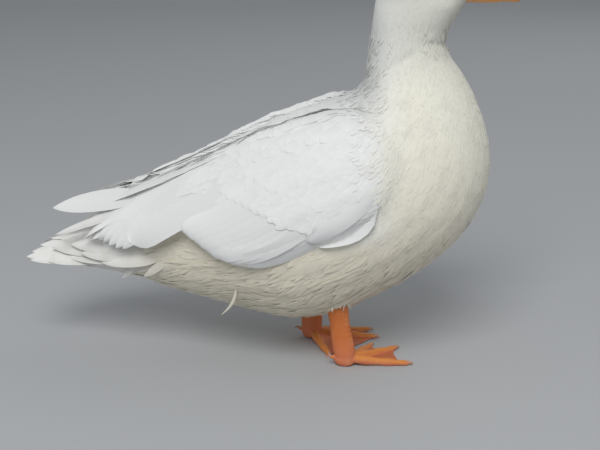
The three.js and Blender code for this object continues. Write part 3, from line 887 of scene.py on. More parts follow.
# ------------------------------------------------------------------------------ eyes and lids
# A wet round eye of dark slate grey with a black pupil, set in its socket behind two thin bare lids that meet
# in corners before and behind it.
EYE_CENTRE = (113.5, 15.6, 277.5)
EYE_RADIUS = 5.6
EYE_AXIS = unit(np.array([0.16, 1.0, 0.12]))
EYE_SIDES = 40
EYE_RINGS = 32
LID_OPEN = 4.3
LID_WIDE = 1.16
LID_REACH = 5.2  # beyond it the lid no longer follows the eye
LID_SECTION = [  # from inside the opening over the lid's rolled edge out under the feathers
    (-0.25, -0.5), (0.0, 0.1), (0.2, 0.3), (0.5, 0.36), (0.9, 0.2), (1.4, -0.1), (2.0, -0.6), (1.9, -1.4),
    (0.8, -1.1),
]
EYE_BANDS = [  # pupil, iris and its dark outer ring
    (0.44, (0.004, 0.004, 0.005, 1)), (0.49, (0.045, 0.055, 0.075, 1)), (0.62, (0.075, 0.09, 0.115, 1)),
    (0.82, (0.04, 0.05, 0.065, 1)), (0.95, (0.012, 0.013, 0.016, 1)),
]
LID_BROWN = (0.42, 0.30, 0.22, 1)
LID_PALE = (0.66, 0.54, 0.42, 1)


def eye_finish():
    """Concentric bands about the eye's axis, with fine rays."""
    finish = Finish("eye_wet", Roughness=0.06, Specular_IOR_Level=0.6, Coat_Weight=0.6, Coat_Roughness=0.02)
    rays = finish.noise(finish.where(), 900, 2)
    shifted = finish.math("MULTIPLY_ADD", rays, 0.08, finish.attribute("band"))
    finish.feed(finish.shader, "Base Color", ramped(finish, shifted, EYE_BANDS))
    return finish.material


def lid_finish():
    finish = Finish("lid_skin", Roughness=0.45)
    folds = finish.noise(finish.where(), 700, 3)
    return finish.done(ramped(finish, folds, [(0.0, LID_BROWN), (1.0, LID_PALE)]), folds, 0.4)


def eyeball(name, centre, axis, level, above):
    turn = circle(EYE_SIDES)[None, :, None]
    polar = np.linspace(0, np.pi, EYE_RINGS + 2)[1:-1, None, None]
    out = np.sin(polar) * (np.cos(turn) * level + np.sin(turn) * above)
    eye = new_piece(name, *ring_loft(centre + EYE_RADIUS * MM * (out + np.cos(polar) * axis)))
    mark(eye.data, "band", np.clip(np.degrees(np.repeat(polar, EYE_SIDES)) / 60, 0, 1))
    return eye


def lids(name, centre, axis, level, above):
    """A ring of skin round the opening, longer before and behind."""
    turn = circle(EYE_SIDES)
    rings = []
    for beyond, proud in LID_SECTION:
        around = LID_OPEN + beyond
        wide = around * (1 + (LID_WIDE - 1) * np.abs(np.cos(turn)) ** 6) * np.cos(turn)
        tall = around * (0.97 - 0.05 * (np.sin(turn) > 0)) * np.sin(turn)
        off_axis = np.minimum(wide ** 2 + tall ** 2, LID_REACH ** 2)
        rise = np.sqrt(np.clip(EYE_RADIUS ** 2 - off_axis, 0, None)) + proud
        rings.append(centre + MM * (wide[:, None] * level + tall[:, None] * above + rise[:, None] * axis))
    ends = [(ring * EYE_SIDES, (ring + 1) % len(rings) * EYE_SIDES) for ring in range(len(rings))]
    faces = [(a + s, b + s, b + (s + 1) % EYE_SIDES, a + (s + 1) % EYE_SIDES)
             for a, b in ends for s in range(EYE_SIDES)]
    lid = new_piece(name, np.concatenate(rings), faces)
    smoother = lid.modifiers.new("round", "SUBSURF")
    smoother.levels = smoother.render_levels = 1
    return settled(lid)


eye_material = eye_finish()
lid_material = lid_finish()
for side, flank in SIDES.items():
    axis = EYE_AXIS * (1, flank, 1)
    level = unit(np.cross(axis, (0, 0, 1))) * -flank
    above = unit(np.cross(level, axis))
    above = above * math.copysign(1, above[2])
    socket = (np.array(EYE_CENTRE) * (1, flank, 1) * MM, axis, level, above)
    eye = eyeball(f"eyeball_{side}", *socket)
    lid = lids(f"lids_{side}", *socket)
    for piece in (eye, lid):
        turn_outwards(piece.data)
        piece.data.shade_smooth()
    fitted(eye, eye_material, "eye", f"eye_{side}")
    fitted(lid, lid_material, "leg_skin")

# ------------------------------------------------------------------------------ the coat of tufts
# Small body feathers lie close over skin and flesh, finest on the face, longest on belly and rump. Each is a
# thin closed blade with a raised shaft. Rings of points run from its root in the skin to a point at its tip,
# over the plumage's surface and along the lie of the coat.
PATCH = 0.003  # size of one tuft's patch on the unwrap
TINTS = (0.965, 1.0)  # darkest and lightest tint of a feather
SHARP_EDGE = 75  # degrees between faces
SPINE = [  # middle line of the bird, bill to tail, x and z in millimetres
    (140, 268), (112, 284), (92, 275), (88, 250), (89, 225), (88, 200), (80, 172),
    (58, 145), (30, 122), (0, 110), (-30, 100), (-60, 92), (-95, 84), (-130, 72), (-165, 66),
]
# The ways a blade is made: where its rings lie from root to tip, and its width at each but the tip.
TUFT = (np.array([0, 0.25, 0.55, 0.82, 1.0]), np.array([0.55, 0.95, 1.0, 0.66]))
LOCK = (np.array([0, 0.2, 0.4, 0.6, 0.8, 0.92, 1.0]), np.array([0.5, 0.85, 1.0, 0.9, 0.62, 0.34]))
WING_FRONT = 0.088  # where the side feathers of the breast begin to cover the wing
NECK_FOOT = NECK_Z - 0.012  # where the neck's tufts begin
BREAST_X = 0.05  # the breast's tufts lie ahead of here
RUMP_X = -0.045  # and the rump's behind here
BELLY_Z = (0.07, 0.125)  # the belly ends between these heights
CLUMP = 7 * MM  # size of the clumps in which tufts draw together
LEG_CLEAR = 0.012  # how far about each shank there are no locks
# No tuft has its root in the oval about each eye, in millimetres, but on the crown the tufts go on over it.
EYE_CLEAR = dict(ahead=1.6, long=7.1, high=5.6, crown=8)
WING_EDGE_BOX = dict(x=(0.070, 0.094), z=(0.135, 0.182))
NAPE_BOX = dict(x=(0.058, 0.088), z=(0.182, 0.232))
THROAT_BOX = dict(x=(0.110, 0.136), z=(0.221, 0.238))
THIGH_TUFTS = 300
THIGH_RING = (10.2, 8.2, 0)  # half the size of their ring, fore and aft and across, in millimetres


def plumage_finish(name, cream, white, blotch, wing):
    """Feather barbs: the markings, roots darkened with painted shade, fine streaks along the barbs and each
    feather's own tint.
    """
    finish = Finish(name, Roughness=0.72, Sheen_Weight=0.12, Sheen_Roughness=0.4, Specular_IOR_Level=0.3)
    base = finish.node("ShaderNodeGroup", {"node_tree": markings}, Cream=cream, White=white, Blotch=blotch,
                       Wing=wing)
    vane = finish.node("ShaderNodeUVMap", {"uv_map": "vane"}).outputs["UV"]
    along = finish.node("ShaderNodeSeparateXYZ", None, Vector=vane).outputs["Y"]
    # Each feather is darkened towards its root as painted shade where the feathers overlap, times its own
    # tint.
    shade = finish.math("MULTIPLY", finish.ranged(along, 0.0, 0.7, 0.86, 1.0), finish.attribute("tint"))
    toned = finish.node("ShaderNodeVectorMath", {"operation": "SCALE"}, Vector=base.outputs["Color"],
                        Scale=shade)
    barbs = finish.node("ShaderNodeTexWave", {"bands_direction": "DIAGONAL"}, Vector=vane, Scale=9.0,
                        Distortion=2.0, Detail=1.0)
    return finish.done(toned.outputs["Vector"], barbs.outputs["Fac"], 0.12)


def spine_parts():
    """Places along the middle line and the way the coat lies at each."""
    line = np.array([(x, 0, z) for x, z in SPINE]) * MM
    steps = np.linspace(0, len(line) - 1, 90)
    fine = np.column_stack([np.interp(steps, np.arange(len(line)), line[:, k]) for k in range(3)])
    for _ in range(12):
        fine[1:-1] = (fine[:-2] + fine[2:]) / 2
    return fine, unit(np.gradient(fine, axis=0))


def tangent(ways, normals):
    """Ways turned into the surface."""
    return unit(ways - normals * (ways * normals).sum(-1, keepdims=True))


def coat_lie(places, normals):
    """The way the coat lies on the body: the mean of the middle line's, the nearest parts counting most."""
    gap = ((places[:, None, :] - spine_place[None]) ** 2).sum(-1)
    weight = 1 / (gap + 1e-5) ** 2.5
    return tangent(unit((weight[:, :, None] * spine_way[None]).sum(1)), normals)


def turned(ways, normals, angle):
    """Ways turned about the normals by an angle."""
    return ways * np.cos(angle)[:, None] + np.cross(normals, ways) * np.sin(angle)[:, None]


def laid(places, normals, ways, lengths, widths, lift, depth, sink, form, powers=(3, 1)):
    """Feathers that walk over the surface: centres, normals, sides and half widths. Their roots are sunk by a
    share of the skin's depth and their tips lifted, each by a power of the way along."""
    rings, shape = form
    track = [(places, normals, ways)]
    for step in np.diff(rings):
        places, normals = surface.at(places + ways * (step * lengths)[:, None])
        ways = tangent(ways, normals)
        track.append((places, normals, ways))
    centre, normal, way = (np.stack([t[k] for t in track], axis=1) for k in range(3))
    height = lift[:, None] * rings ** powers[1] - depth[:, None] * sink * (1 - rings) ** powers[0]
    return centre + normal * height[..., None], normal, np.cross(normal, way), widths[:, None] * shape / 2


def blade_mesh(name, blades, thick, across, unwrap, patch, drop):
    """Many blades as one closed mesh. The last of each blade's centres is its tip; half is half the width at
    each ring, thick the rise of the shaft and drop how far the edges hang."""
    centre, normal, side, half = blades
    count, rings = half.shape
    s = np.linspace(-1, 1, across)
    rise = thick * (1 - np.abs(s)) ** 0.7 - drop * half[:, :, None] * s ** 2
    body = (centre[:, :rings, None] + side[:, :rings, None] * (half[:, :, None] * s)[..., None]
            + normal[:, :rings, None] * rise[..., None])
    per = rings * across + 1
    corners = np.concatenate([body.reshape(count, -1, 3), centre[:, rings:]], axis=1)
    quads = []
    for start in range(0, per - 1 - across, across):
        quads += [(start + a, start + a + 1, start + across + a + 1, start + across + a)
                  for a in range(across - 1)]
        quads.append((start, start + across, start + 2 * across - 1, start + across - 1))
    last = (rings - 1) * across
    ends = [(last + a, last + a + 1, per - 1) for a in range(across - 1)]
    ends.append((last + across - 1, last, per - 1))
    ends += [(0, a + 1, a) for a in range(1, across - 1)]
    offset = np.arange(count)[:, None, None] * per
    quad_loops = (np.array(quads)[None] + offset).reshape(-1)
    loops = np.concatenate([quad_loops, (np.array(ends)[None] + offset).reshape(-1)])
    starts = np.concatenate([np.arange(0, len(quad_loops), 4), np.arange(len(quad_loops), len(loops), 3)])
    mesh = bpy.data.meshes.new(name)
    mesh.vertices.add(count * per)
    mesh.vertices.foreach_set("co", corners.ravel())
    mesh.loops.add(len(loops))
    mesh.loops.foreach_set("vertex_index", loops)
    mesh.polygons.add(len(starts))
    mesh.polygons.foreach_set("loop_start", starts)
    mesh.update(calc_edges=True)
    mesh.shade_smooth()
    mesh.set_sharp_from_angle(angle=math.radians(SHARP_EDGE))
    t = np.repeat(np.linspace(0, 1, rings + 1)[:rings], across)
    vane = np.column_stack([np.append(np.tile(s, rings), 0), np.append(t, 1)])
    bake = unwrap[:, None, :] + (vane * (0.5, 1) - (0, 0.5))[None] * patch
    for layer, values in (("OFBake", bake.reshape(-1, 2)), ("vane", np.tile(vane, (count, 1)))):
        mesh.uv_layers.new(name=layer).data.foreach_set("uv", values[loops].ravel())
    mesh.uv_layers.active_index = 0
    mark(mesh, "tint", np.repeat(draw.uniform(*TINTS, count), per))
    return mesh


def feathers(name, blades, material, slot, thick, across, unwrap=None, drop=0.0, nodes=()):
    """One piece of feathers riding on the body. Without an unwrap each feather gets a cell of its own."""
    patch = PATCH
    if unwrap is None:
        grid = math.ceil(math.sqrt(len(blades[0])))
        unwrap = np.array([(k % grid, k // grid) for k in range(len(blades[0]))]) / grid + 0.5 / grid
        patch = 0.9 / grid
    piece = placed(name, blade_mesh(name, blades, thick * MM, across, unwrap, patch, drop))
    fitted(piece, material, slot, *nodes)


def lock_together(places, ways, normals, lengths, gather):
    """Turns tufts so that their tips draw towards the nearest leading tuft's."""
    tips = places + ways * lengths[:, None]
    _, leads = np.unique(np.floor(places / CLUMP).astype(int), axis=0, return_index=True)
    tree = KDTree(len(leads))
    for i, lead in enumerate(leads):
        tree.insert(places[lead], i)
    tree.balance()
    nearest = np.array([leads[tree.find(p)[1]] for p in places.tolist()])
    return tangent(unit(tips + (tips[nearest] - tips) * gather[:, None] - places), normals)


def belly_share(p):
    """1 on belly and flanks, 0 above."""
    return fade(-p[:, 2], -BELLY_Z[1], -BELLY_Z[0])


def swirl(p):
    """Slow turns in the lie of the belly feathers, in radians."""
    wave = np.sin(p[:, 0] * 75 + p[:, 2] * 60) + 0.6 * np.sin(p[:, 0] * 160 - p[:, 2] * 90 + 1.3)
    return 0.2 * wave * belly_share(p)


def make_coat(name, spacing, keep, splits, sizes, lift, thick, form=LOCK, wander=0.09, gather=(0.1, 0.4),
              sink=0.85):
    """Tufts spread about spacing apart where keep says so. sizes gives their lengths and widths, lift the
    least and the most that their tips are raised, gather how much they draw together above and on the belly,
    all in millimetres but gather. wander is in radians, and sink a share of the skin's depth."""
    places, normals, unwrap, depth = surface.scatter(spacing * MM, keep)
    count = len(places)
    lengths, widths = (np.asarray(size) * MM * draw.uniform(0.8, 1.2, count) for size in sizes(places))
    on_belly = belly_share(places)
    ways = turned(coat_lie(places, normals), normals, draw.normal(0, wander, count) + swirl(places))
    ways = lock_together(places, ways, normals, lengths, gather[0] + (gather[1] - gather[0]) * on_belly)
    raised = (lift[0] + (lift[1] * (0.5 + 0.5 * on_belly) - lift[0]) * draw.uniform(0, 1, count)) * MM
    blades = laid(places, normals, ways, lengths, widths, raised, depth, sink, form, (3.2, 1.5))
    for part, chosen in splits(places):
        own = [values[chosen] for values in blades]
        feathers(f"{name}{part}", own, plumage_material, "plumage", thick, 3, unwrap[chosen])


def coat_sizes(places):
    """Length and width of the tufts by place, in millimetres."""
    x, z = places[:, 0], places[:, 2]
    length = np.full(len(places), 15.0)
    length += 5 * fade(-x, -0.04, 0.06) * fade(-z, -0.09, -0.05)
    length += (10 - length) * fade(z, 0.15, 0.21)
    length += (6.5 - length) * fade(z, 0.225, 0.25)
    length += (4.2 - length) * fade(x + z, 0.37, 0.395)
    return length, np.maximum(0.33 * length, 2.0)


def lock_sizes(places):
    return 24 + 9 * fade(-places[:, 0], -0.05, 0.05), 4.2


def wisp_sizes(places):
    return 13 + 7 * belly_share(places) - 5 * fade(places[:, 2], 0.16, 0.2), 1.7


def on_head(p):
    return p[:, 2] > HEAD_Z


def on_neck(p):
    return (p[:, 2] > NECK_FOOT) & ~on_head(p)


def on_trunk(p):
    """Below the neck and off the wings, but over the front edge of each."""
    trunk = p[:, 2] <= NECK_FOOT
    x, z = p[trunk][:, 0], p[trunk][:, 2]
    front = WING_FRONT + 0.004 * np.sin(z * 300) + 0.009 * fade(-z, -0.145, -0.125)
    trunk[trunk] = (wing_share(p[trunk]) < 0.5) | (x > front)
    return trunk


def clear_of_eyes(p):
    """On the head, off each eye and off the place before it whose tufts would reach over it."""
    ahead = (p[:, 0] / MM - EYE_CENTRE[0] - EYE_CLEAR["ahead"]) / EYE_CLEAR["long"]
    above = (p[:, 2] / MM - EYE_CENTRE[2]) / EYE_CLEAR["high"]
    return on_head(p) & ((ahead ** 2 + above ** 2 > 1) | (np.abs(p[:, 1]) < EYE_CLEAR["crown"] * MM))


def lock_zone(p):
    near_leg = np.min([np.hypot(p[:, 0] - leg["top"][0] * MM, p[:, 1] - leg["top"][1] * MM)
                       for leg in LEGS.values()], axis=0) < LEG_CLEAR
    return on_trunk(p) & (draw.uniform(0.02, 0.85, len(p)) < belly_share(p)) & ~near_leg


def in_box(p, x, z):
    return (p[:, 0] > x[0]) & (p[:, 0] < x[1]) & (p[:, 2] > z[0]) & (p[:, 2] < z[1])


def both_sides(p):
    return [("_right", p[:, 1] < 0), ("_left", p[:, 1] >= 0)]


def trunk_parts(p):
    front, rear = p[:, 0] > BREAST_X, p[:, 0] < RUMP_X
    parts = {"breast": front, "side": ~front & ~rear, "rump": rear}
    return [(f"_{part}_{side}", chosen & (p[:, 1] * flank > 0))
            for side, flank in SIDES.items() for part, chosen in parts.items()]


def standing(roots, ways, outs, lengths, widths, bows, form, sway=0.0):
    """Blades that stand free of the surface, bowed outwards and bent sideways by sway: centres, normals,
    sides and half widths."""
    rings, shape = form
    t = rings[None, :, None]
    centre = roots[:, None] + ways[:, None] * lengths[:, None, None] * t
    centre = centre + outs[:, None] * bows[:, None, None] * np.sin(np.pi * t)
    centre = centre + np.cross(outs, ways)[:, None] * sway * np.sin(np.pi * t)
    way = unit(np.gradient(centre, axis=1))
    normal = tangent(np.repeat(outs[:, None], len(rings), axis=1), way)
    return centre, normal, np.cross(normal, way), widths[:, None] * shape / 2


def thigh_tufts(name, top, ankle, count=THIGH_TUFTS):
    """Short tufts that hang round the top of a shank."""
    top, ankle = np.array(top, float), np.array(ankle, float)
    turn = draw.uniform(0, 2 * np.pi, count)
    outs = np.column_stack([np.cos(turn), np.sin(turn), np.zeros(count)])
    roots = (top + outs * THIGH_RING) * MM
    belly = surface.at(roots * (1, 1, 0) + (0, 0, 0.052))[0]
    roots[:, 2] = belly[:, 2] + draw.uniform(0.5, 4, count) * MM
    ways = unit(unit(ankle - top) + 0.3 * draw.normal(0, 1, (count, 3)) - outs * 0.1)
    lengths, widths = draw.uniform(3, 8.5, count) * MM, draw.uniform(0.7, 1.4, count) * MM
    blades = standing(roots, ways, outs, lengths, widths, np.full(count, 1.3 * MM), LOCK)
    feathers(name, blades, plumage_material, "plumage", 0.25, 3, surface.unwrap_at(roots))


spine_place, spine_way = spine_parts()
plumage_material = plumage_finish("plumage_barbs", CREAM, WHITE, BLOTCH, 0.0)
make_coat("coat_head", 1.25, clear_of_eyes, both_sides, coat_sizes, (-0.05, 0.2), 0.10, TUFT)
make_coat("coat_neck", 1.55, on_neck, both_sides, coat_sizes, (-0.1, 0.25), 0.12, TUFT)
make_coat("coat", 1.85, on_trunk, trunk_parts, coat_sizes, (-0.15, 0.3), 0.14, TUFT)
# Longer locks lie over belly and flanks, and fine strands over neck, breast and flanks, drawn together at
# their tips as damp feathers are.
make_coat("coat_locks", 4.5, lock_zone, both_sides, lock_sizes, (-0.3, 1.5), 0.26,
          wander=0.2, gather=(0.3, 0.5), sink=0.6)
make_coat("coat_wisps", 3.8, lambda p: on_trunk(p) | on_neck(p), both_sides, wisp_sizes, (0.0, 0.75), 0.24,
          wander=0.22, gather=(0.6, 0.6), sink=0.7)
# Small tufts stand up a little where the breast meets the front of each wing, and on nape and throat.
make_coat("wing_ruffles", 3.6, lambda p: in_box(p, **WING_EDGE_BOX), both_sides, lambda p: (10.0, 2.6),
          (0.0, 1.5), 0.16, wander=0.4, gather=(0.3, 0.3), sink=0.6)
make_coat("neck_ruffles", 3.2, lambda p: in_box(p, **NAPE_BOX) | in_box(p, **THROAT_BOX), both_sides,
          lambda p: (8.5, 2.0), (0.2, 2.4), 0.2, wander=0.35, gather=(0.5, 0.5), sink=0.7)
for side, leg in LEGS.items():
    thigh_tufts(f"thigh_tufts_{side}", leg["top"], leg["ankle"])

# ------------------------------------------------------------------------------ the folded wings
# A folded wing is shingled: the secondaries lie lowest, their edges stepped along the rounded lower rim, the
# tertials cover them behind, and rows of coverts overlap their roots from the shoulder back. Short rounded
# coverts clothe the shoulder and the upper wing, and broad scapulars the back between the wings.
LONG_RINGS = np.array([0, 0.1, 0.2, 0.32, 0.44, 0.56, 0.67, 0.77, 0.86, 0.92, 0.965, 0.99, 1.0])
BLUNT = np.array([0.55, 0.75, 0.9, 1.0, 1.0, 1.0, 1.0, 0.98, 0.93, 0.82, 0.6, 0.32])
POINTED = np.array([0.5, 0.75, 0.92, 1.0, 1.0, 0.95, 0.86, 0.72, 0.52, 0.34, 0.18, 0.07])
TAPERED = np.array([0.55, 0.75, 0.9, 1.0, 1.0, 0.97, 0.91, 0.8, 0.63, 0.46, 0.27, 0.12])
LOBE = np.array([0.3, 0.5, 0.68, 0.84, 0.94, 1.0, 1.0, 0.97, 0.9, 0.78, 0.56, 0.3])
QUILL = (LONG_RINGS, POINTED)
COVERT = (np.array([0, 0.22, 0.46, 0.7, 0.87, 0.965, 1.0]), np.array([0.45, 0.8, 1.0, 0.95, 0.74, 0.4]))
# Each row of long feathers: how many, their outline, how far the tips sag in the middle of the row, and for
# its first and its last feather the root, middle and tip of the shaft as x and z from the side, the width,
# and how far it stands out, all in millimetres.
WING_ROWS = {
    "secondaries": (12, BLUNT, 5, [(66, 122), (30, 94), (-5, 83), 12, -1.1],
                    [(30, 148), (-12, 121), (-50, 101), 14, -0.3]),
    "primaries": (7, TAPERED, 0, [(-54, 116), (-75, 101), (-95, 82), 11, -0.6],
                  [(-66, 124), (-97, 108), (-124, 85), 11, 0.0]),
    "tertials": (3, BLUNT, 0, [(8, 142), (-42, 119.5), (-90, 88.5), 27, -0.4],
                 [(-4, 152), (-52, 131), (-104, 99), 20, -0.2]),
    "front_lobes": (2, LOBE, 0, [(88, 131), (71, 108.5), (43, 98.5), 10, -0.4],
                    [(84, 136), (63, 118.5), (38, 103), 11, 0.9]),
    "greater_coverts": (13, BLUNT, 0, [(74, 134), (58, 117), (41, 107), 14, -1.0],
                        [(24, 158), (0, 143), (-24, 127), 15, -0.35]),
    "median_coverts": (9, BLUNT, 0, [(80, 142), (68, 128), (54, 120), 12, -0.65],
                       [(36, 164), (14, 152), (-8, 139), 13, -0.25]),
}
COVERT_EDGE = dict(x=[-130, -60, -20, 30, 60, 100], z=[112, 126, 136, 126, 112, 100])
COVERT_SPACING = 4.0 * MM
SCAPULAR_SPACING = 4.6 * MM
SCAPULAR_ZONE = dict(x=(-0.092, 0.062), y=0.046, z=0.1, narrow=0.029)


def side_place(x, z, flank):
    """The place on a wing's outer face that lies at x and z seen from the side, and the normal there."""
    hit, normal, _, _ = wing_tree.ray_cast(Vector((x, flank * 0.2, z)), Vector((0, -flank, 0)))
    if hit is None or hit.y * flank < 0:
        near, normal, _, _ = wing_tree.find_nearest(Vector((x, flank * 0.06, z)))
        hit = Vector((x, near.y, z))
    return hit, normal


def shaft_track(root, middle, tip, flank):
    """Places and normals along a curved shaft laid on the wing's face."""
    t = LONG_RINGS[:, None]
    control = 2 * middle - (root + tip) / 2
    line = (1 - t) ** 2 * root + 2 * t * (1 - t) * control + t ** 2 * tip
    found = np.array([side_place(x * MM, z * MM, flank) for x, z in line])
    places, normals = found[:, 0], found[:, 1]
    for _ in range(3):
        places[1:-1, 1] = (places[:-2, 1] + 2 * places[1:-1, 1] + places[2:, 1]) / 4
        normals[1:-1] = unit((normals[:-2] + normals[1:-1] + normals[2:]) / 3)
    return places, normals


def make_row(count, shape, sag, first, last, flank):
    """Centres, normals, sides and half widths of one row of long feathers."""
    tracks = []
    for share in np.linspace(0, 1, count):
        root, middle, tip, width, out = [np.array(a) * (1 - share) + np.array(b) * share
                                         for a, b in zip(first, last)]
        drop = sag * math.sin(math.pi * share)
        tip = tip + draw.normal(0, 0.4, 2) - (0, drop)
        places, normals = shaft_track(root, middle - (0, drop / 2), tip, flank)
        way = tangent(unit(np.gradient(places, axis=0)), normals)
        rise = (out + 0.4 * LONG_RINGS - 1.2 * (1 - LONG_RINGS) ** 3) * MM
        half = shape * width / 2 * MM
        tracks.append((places + normals * rise[:, None], normals, np.cross(normals, way), half))
    return [np.stack([t[k] for t in tracks]) for k in range(4)]


def together(sets):
    """Several sets of blades as one."""
    return [np.concatenate([blades[k] for blades in sets]) for k in range(4)]


def wing_lie(places, normals):
    """The lie of the small feathers on a wing: back and down, steeper towards the lower rim."""
    slope = np.radians(22 + 8 * fade(-places[:, 2], -0.17, -0.1))
    return tangent(np.column_stack([-np.cos(slope), np.zeros(len(places)), -np.sin(slope)]), normals)


def above_covert_edge(p):
    """Height over the line where the long feathers come out."""
    return p[:, 2] - np.interp(p[:, 0] / MM, COVERT_EDGE["x"], COVERT_EDGE["z"]) * MM


def covert_zone(p):
    return (wing_share(p) > 0.4) & (above_covert_edge(p) > 0) & (p[:, 0] < WING_FRONT + 0.006)


def scapular_zone(p):
    inside = (p[:, 0] > SCAPULAR_ZONE["x"][0]) & (p[:, 0] < SCAPULAR_ZONE["x"][1])
    reach = SCAPULAR_ZONE["y"] - SCAPULAR_ZONE["narrow"] * fade(-p[:, 0], -0.015, 0.03)
    return inside & (np.abs(p[:, 1]) < reach) & (p[:, 2] > SCAPULAR_ZONE["z"])


def sizes_between(low, high, count):
    """Lengths, widths or lifts drawn between two, given in millimetres."""
    return draw.uniform(low, high, count) * MM


wing_material = plumage_finish("wing_vanes", COOL, COOL, 0.0, 1.0)
for side, flank in SIDES.items():
    blades = together([make_row(*row, flank) for row in WING_ROWS.values()])
    feathers(f"wing_long_feathers_{side}", blades, wing_material, "wing_feathers", 0.3, 7, drop=0.1)

for side, flank in SIDES.items():
    places, normals, unwrap, depth = surface.scatter(
        COVERT_SPACING, lambda p: covert_zone(p) & (p[:, 1] * flank > 0))
    count = len(places)
    ways = turned(wing_lie(places, normals), normals, draw.normal(0, 0.05, count))
    lengths, widths = sizes_between(20, 27, count), sizes_between(7, 9, count)
    lift = draw.uniform(-0.12, 0.12, count) - 0.25 * (1 - fade(above_covert_edge(places), 0, 0.012))
    blades = laid(places, normals, ways, lengths, widths, lift * MM, depth, 0.8, COVERT)
    feathers(f"wing_coverts_{side}", blades, wing_material, "wing_feathers", 0.11, 5, unwrap, 0.06)

places, normals, unwrap, depth = surface.scatter(SCAPULAR_SPACING, scapular_zone)
up = normals[:, 2] > 0.35
places, normals, unwrap, depth = places[up], normals[up], unwrap[up], depth[up]
count = len(places)
ways = tangent(unit(coat_lie(places, normals) + np.sign(places[:, 1:2]) * (0, 0.12, 0)), normals)
ways = turned(ways, normals, draw.normal(0, 0.06, count))
blades = laid(places, normals, ways, sizes_between(19, 25, count), sizes_between(9, 12, count),
              sizes_between(0.15, 0.6, count), depth, 0.6, COVERT)
feathers("scapulars", blades, wing_material, "wing_feathers", 0.16, 5, unwrap, 0.12)

# ------------------------------------------------------------------------------ the wing tips
# Each folded wing ends in a few long stiff quills past the tertials. The left wing's are tucked lower. The
# inner tertials cover the upper edge of each wing.
QUILL_TUCK = {"right": 0, "left": 9}
QUILLS = [  # root, tip, width, roll of the vane in degrees, millimetres
    ((-84, -25, 117), (-149, -20, 104.5), 17, 48),
    ((-92, -29, 107), (-146, -28, 87), 6, 60),
    ((-86, -19, 115), (-140, -14, 107), 15, 30),
    ((-76, -28, 114), (-122, -26, 97), 13, 55),
    ((-74, -29, 108), (-118, -28, 90), 10, 62),
]
RIDGE_FEATHERS = [
    ((-14, -27, 155), (-84, -23, 119.5), 14, 12),
    ((-30, -26.5, 146.5), (-101, -22, 112.5), 14, 12),
    ((-44, -26, 139), (-118, -21, 106.5), 14, 14),
]
STIFF_BOW = 1.6 * MM  # how far the stiff feathers arch
quill_material = plumage_finish("quill_vanes", CREAM, COOL, 0.1, 0.0)


def stiff_feathers(table, flank, tuck=0):
    """Blades from rows of root, tip, width and roll, mirrored to one side, their tips lowered by tuck."""
    root, tip, width, roll = (np.array([row[k] for row in table], float) for k in range(4))
    mirror = np.array([1, -flank, 1])
    root, tip = root * mirror * MM, (tip - (0, 0, tuck)) * mirror * MM
    ways = unit(tip - root)
    turn = np.radians(roll) * -flank
    ups = unit(np.cross(np.column_stack([np.zeros(len(turn)), np.cos(turn), np.sin(turn)]), ways))
    ups = ups * np.sign(ups[:, 2:])
    lengths = np.linalg.norm(tip - root, axis=1)
    return standing(root, ways, ups, lengths, width * MM, np.full(len(ways), STIFF_BOW), QUILL)


for side, flank in SIDES.items():
    tips = stiff_feathers(QUILLS, flank, QUILL_TUCK[side])
    feathers(f"wing_tip_{side}", tips, quill_material, "quills", 0.5, 7, drop=0.12,
             nodes=[f"wing_quills_{side}"])
    ridge = stiff_feathers(RIDGE_FEATHERS, flank)
    feathers(f"wing_ridge_{side}", ridge, wing_material, "wing_feathers", 0.3, 7, drop=0.12)

# ------------------------------------------------------------------------------ the tail
# Twelve stiff tail feathers fan out from the rump like a low roof, the middle pair on top. Softer coverts lie
# over, under and beside their roots, and a few loose plumes stand off the flanks.
TAIL_FEATHERS = [  # root, tip, width, roll of the vane in degrees, millimetres
    ((-108, -2, 83), (-157, -4, 77), 13, 12),
    ((-108, -5, 80), (-164, -8, 73), 14, 28),
    ((-107, -8, 77), (-169, -12, 69), 14, 38),
    ((-106, -11, 73), (-172.5, -15, 66), 14, 46),
    ((-104, -14, 71), (-168, -20, 65), 12, 50),
    ((-102, -16, 69), (-154, -22, 65), 10, 52),
]
SIDE_COVERTS = [
    ((-76, -29, 86), (-122, -24, 84.5), 12, 70),
    ((-86, -24, 84), (-146, -15, 80), 13, 64),
    ((-78, -30.5, 81), (-137, -22, 78.5), 13, 68),
    ((-88, -26, 78), (-153, -16, 74), 14, 62),
    ((-80, -30.5, 76), (-129, -25, 73), 12, 66),
    ((-86, -27.5, 72), (-141, -20, 68.5), 11, 58),
    ((-72, -33.5, 74), (-113, -29, 68), 10, 70),
]
TAIL_COVERT_SPACING = 5.0 * MM
TAIL_COVERT_X = (-0.136, -0.084)
TAIL_COVERT_END = 0.163  # how far back the coverts may reach
PLUMES = 12
PLUME_SUNK = 1.5 * MM


def tail_covert_zone(p):
    return (p[:, 0] > TAIL_COVERT_X[0]) & (p[:, 0] < TAIL_COVERT_X[1]) & (wing_share(p) < 0.5)


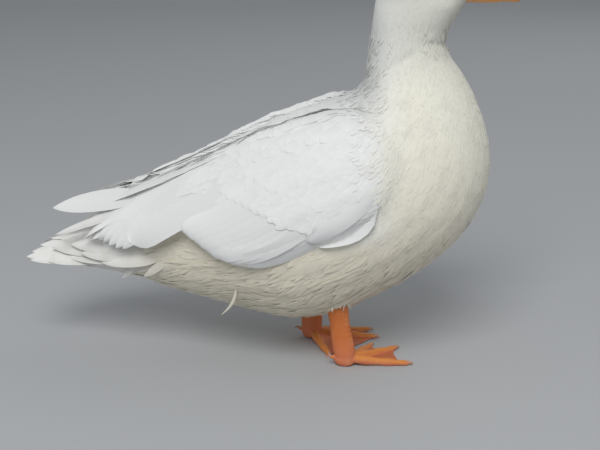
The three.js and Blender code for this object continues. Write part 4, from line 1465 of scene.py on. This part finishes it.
def plumes(name, places, slopes, outs, lengths, widths, bows, sway=0.0):
    """Loose feathers that stand off the coat, one for each place, hanging at its slope."""
    roots, normals = surface.at(places)
    ways = np.column_stack([-np.cos(slopes), np.zeros(len(slopes)), -np.sin(slopes)])
    ways = unit(tangent(ways, normals) + normals * outs[:, None])
    blades = standing(roots - normals * PLUME_SUNK, ways, normals, lengths, widths, bows, QUILL, sway)
    feathers(name, blades, quill_material, "quills", 0.2, 5, surface.unwrap_at(roots), 0.06)


fan = together([stiff_feathers(TAIL_FEATHERS, flank) for flank in SIDES.values()])
feathers("tail_fan", fan, quill_material, "quills", 0.5, 7, drop=0.1, nodes=["tail"])

places, normals, unwrap, depth = surface.scatter(TAIL_COVERT_SPACING, tail_covert_zone)
count = len(places)
ways = turned(unit(coat_lie(places, normals) - (0.8, 0, 0)), normals, draw.normal(0, 0.06, count))
roots = places - normals * depth[:, None] * 0.8
lengths, widths = sizes_between(24, 34, count), sizes_between(7, 10, count)
lengths = np.minimum(lengths, (TAIL_COVERT_END + roots[:, 0]) / -ways[:, 0])
blades = standing(roots, ways, normals, lengths, widths, sizes_between(1.2, 2.4, count), QUILL)
feathers("tail_coverts", blades, quill_material, "quills", 0.2, 5, unwrap, 0.08)

for side, flank in SIDES.items():
    along = draw.uniform(0, 1, PLUMES)
    places = np.column_stack([-0.055 - 0.034 * along, flank * (0.05 - 0.014 * along),
                              draw.uniform(0.064, 0.075, PLUMES)])
    plumes(f"flank_plumes_{side}", places, np.radians(draw.uniform(20, 42, PLUMES)),
           draw.uniform(0.0, 0.12, PLUMES), sizes_between(22, 31, PLUMES), sizes_between(4, 6.5, PLUMES),
           sizes_between(0.5, 1.5, PLUMES))
    beside = stiff_feathers(SIDE_COVERTS, flank)
    feathers(f"tail_side_coverts_{side}", beside, quill_material, "quills", 0.4, 7, drop=0.1)
plumes("loose_feather", np.array([[-0.014, -0.05, 0.062]]), np.radians([64.0]), np.array([0.45]),
       np.array([28.0]) * MM, np.array([2.0]) * MM, np.array([0.5]) * MM, sway=3.5 * MM)

# ------------------------------------------------------------------------------ size
low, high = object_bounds()
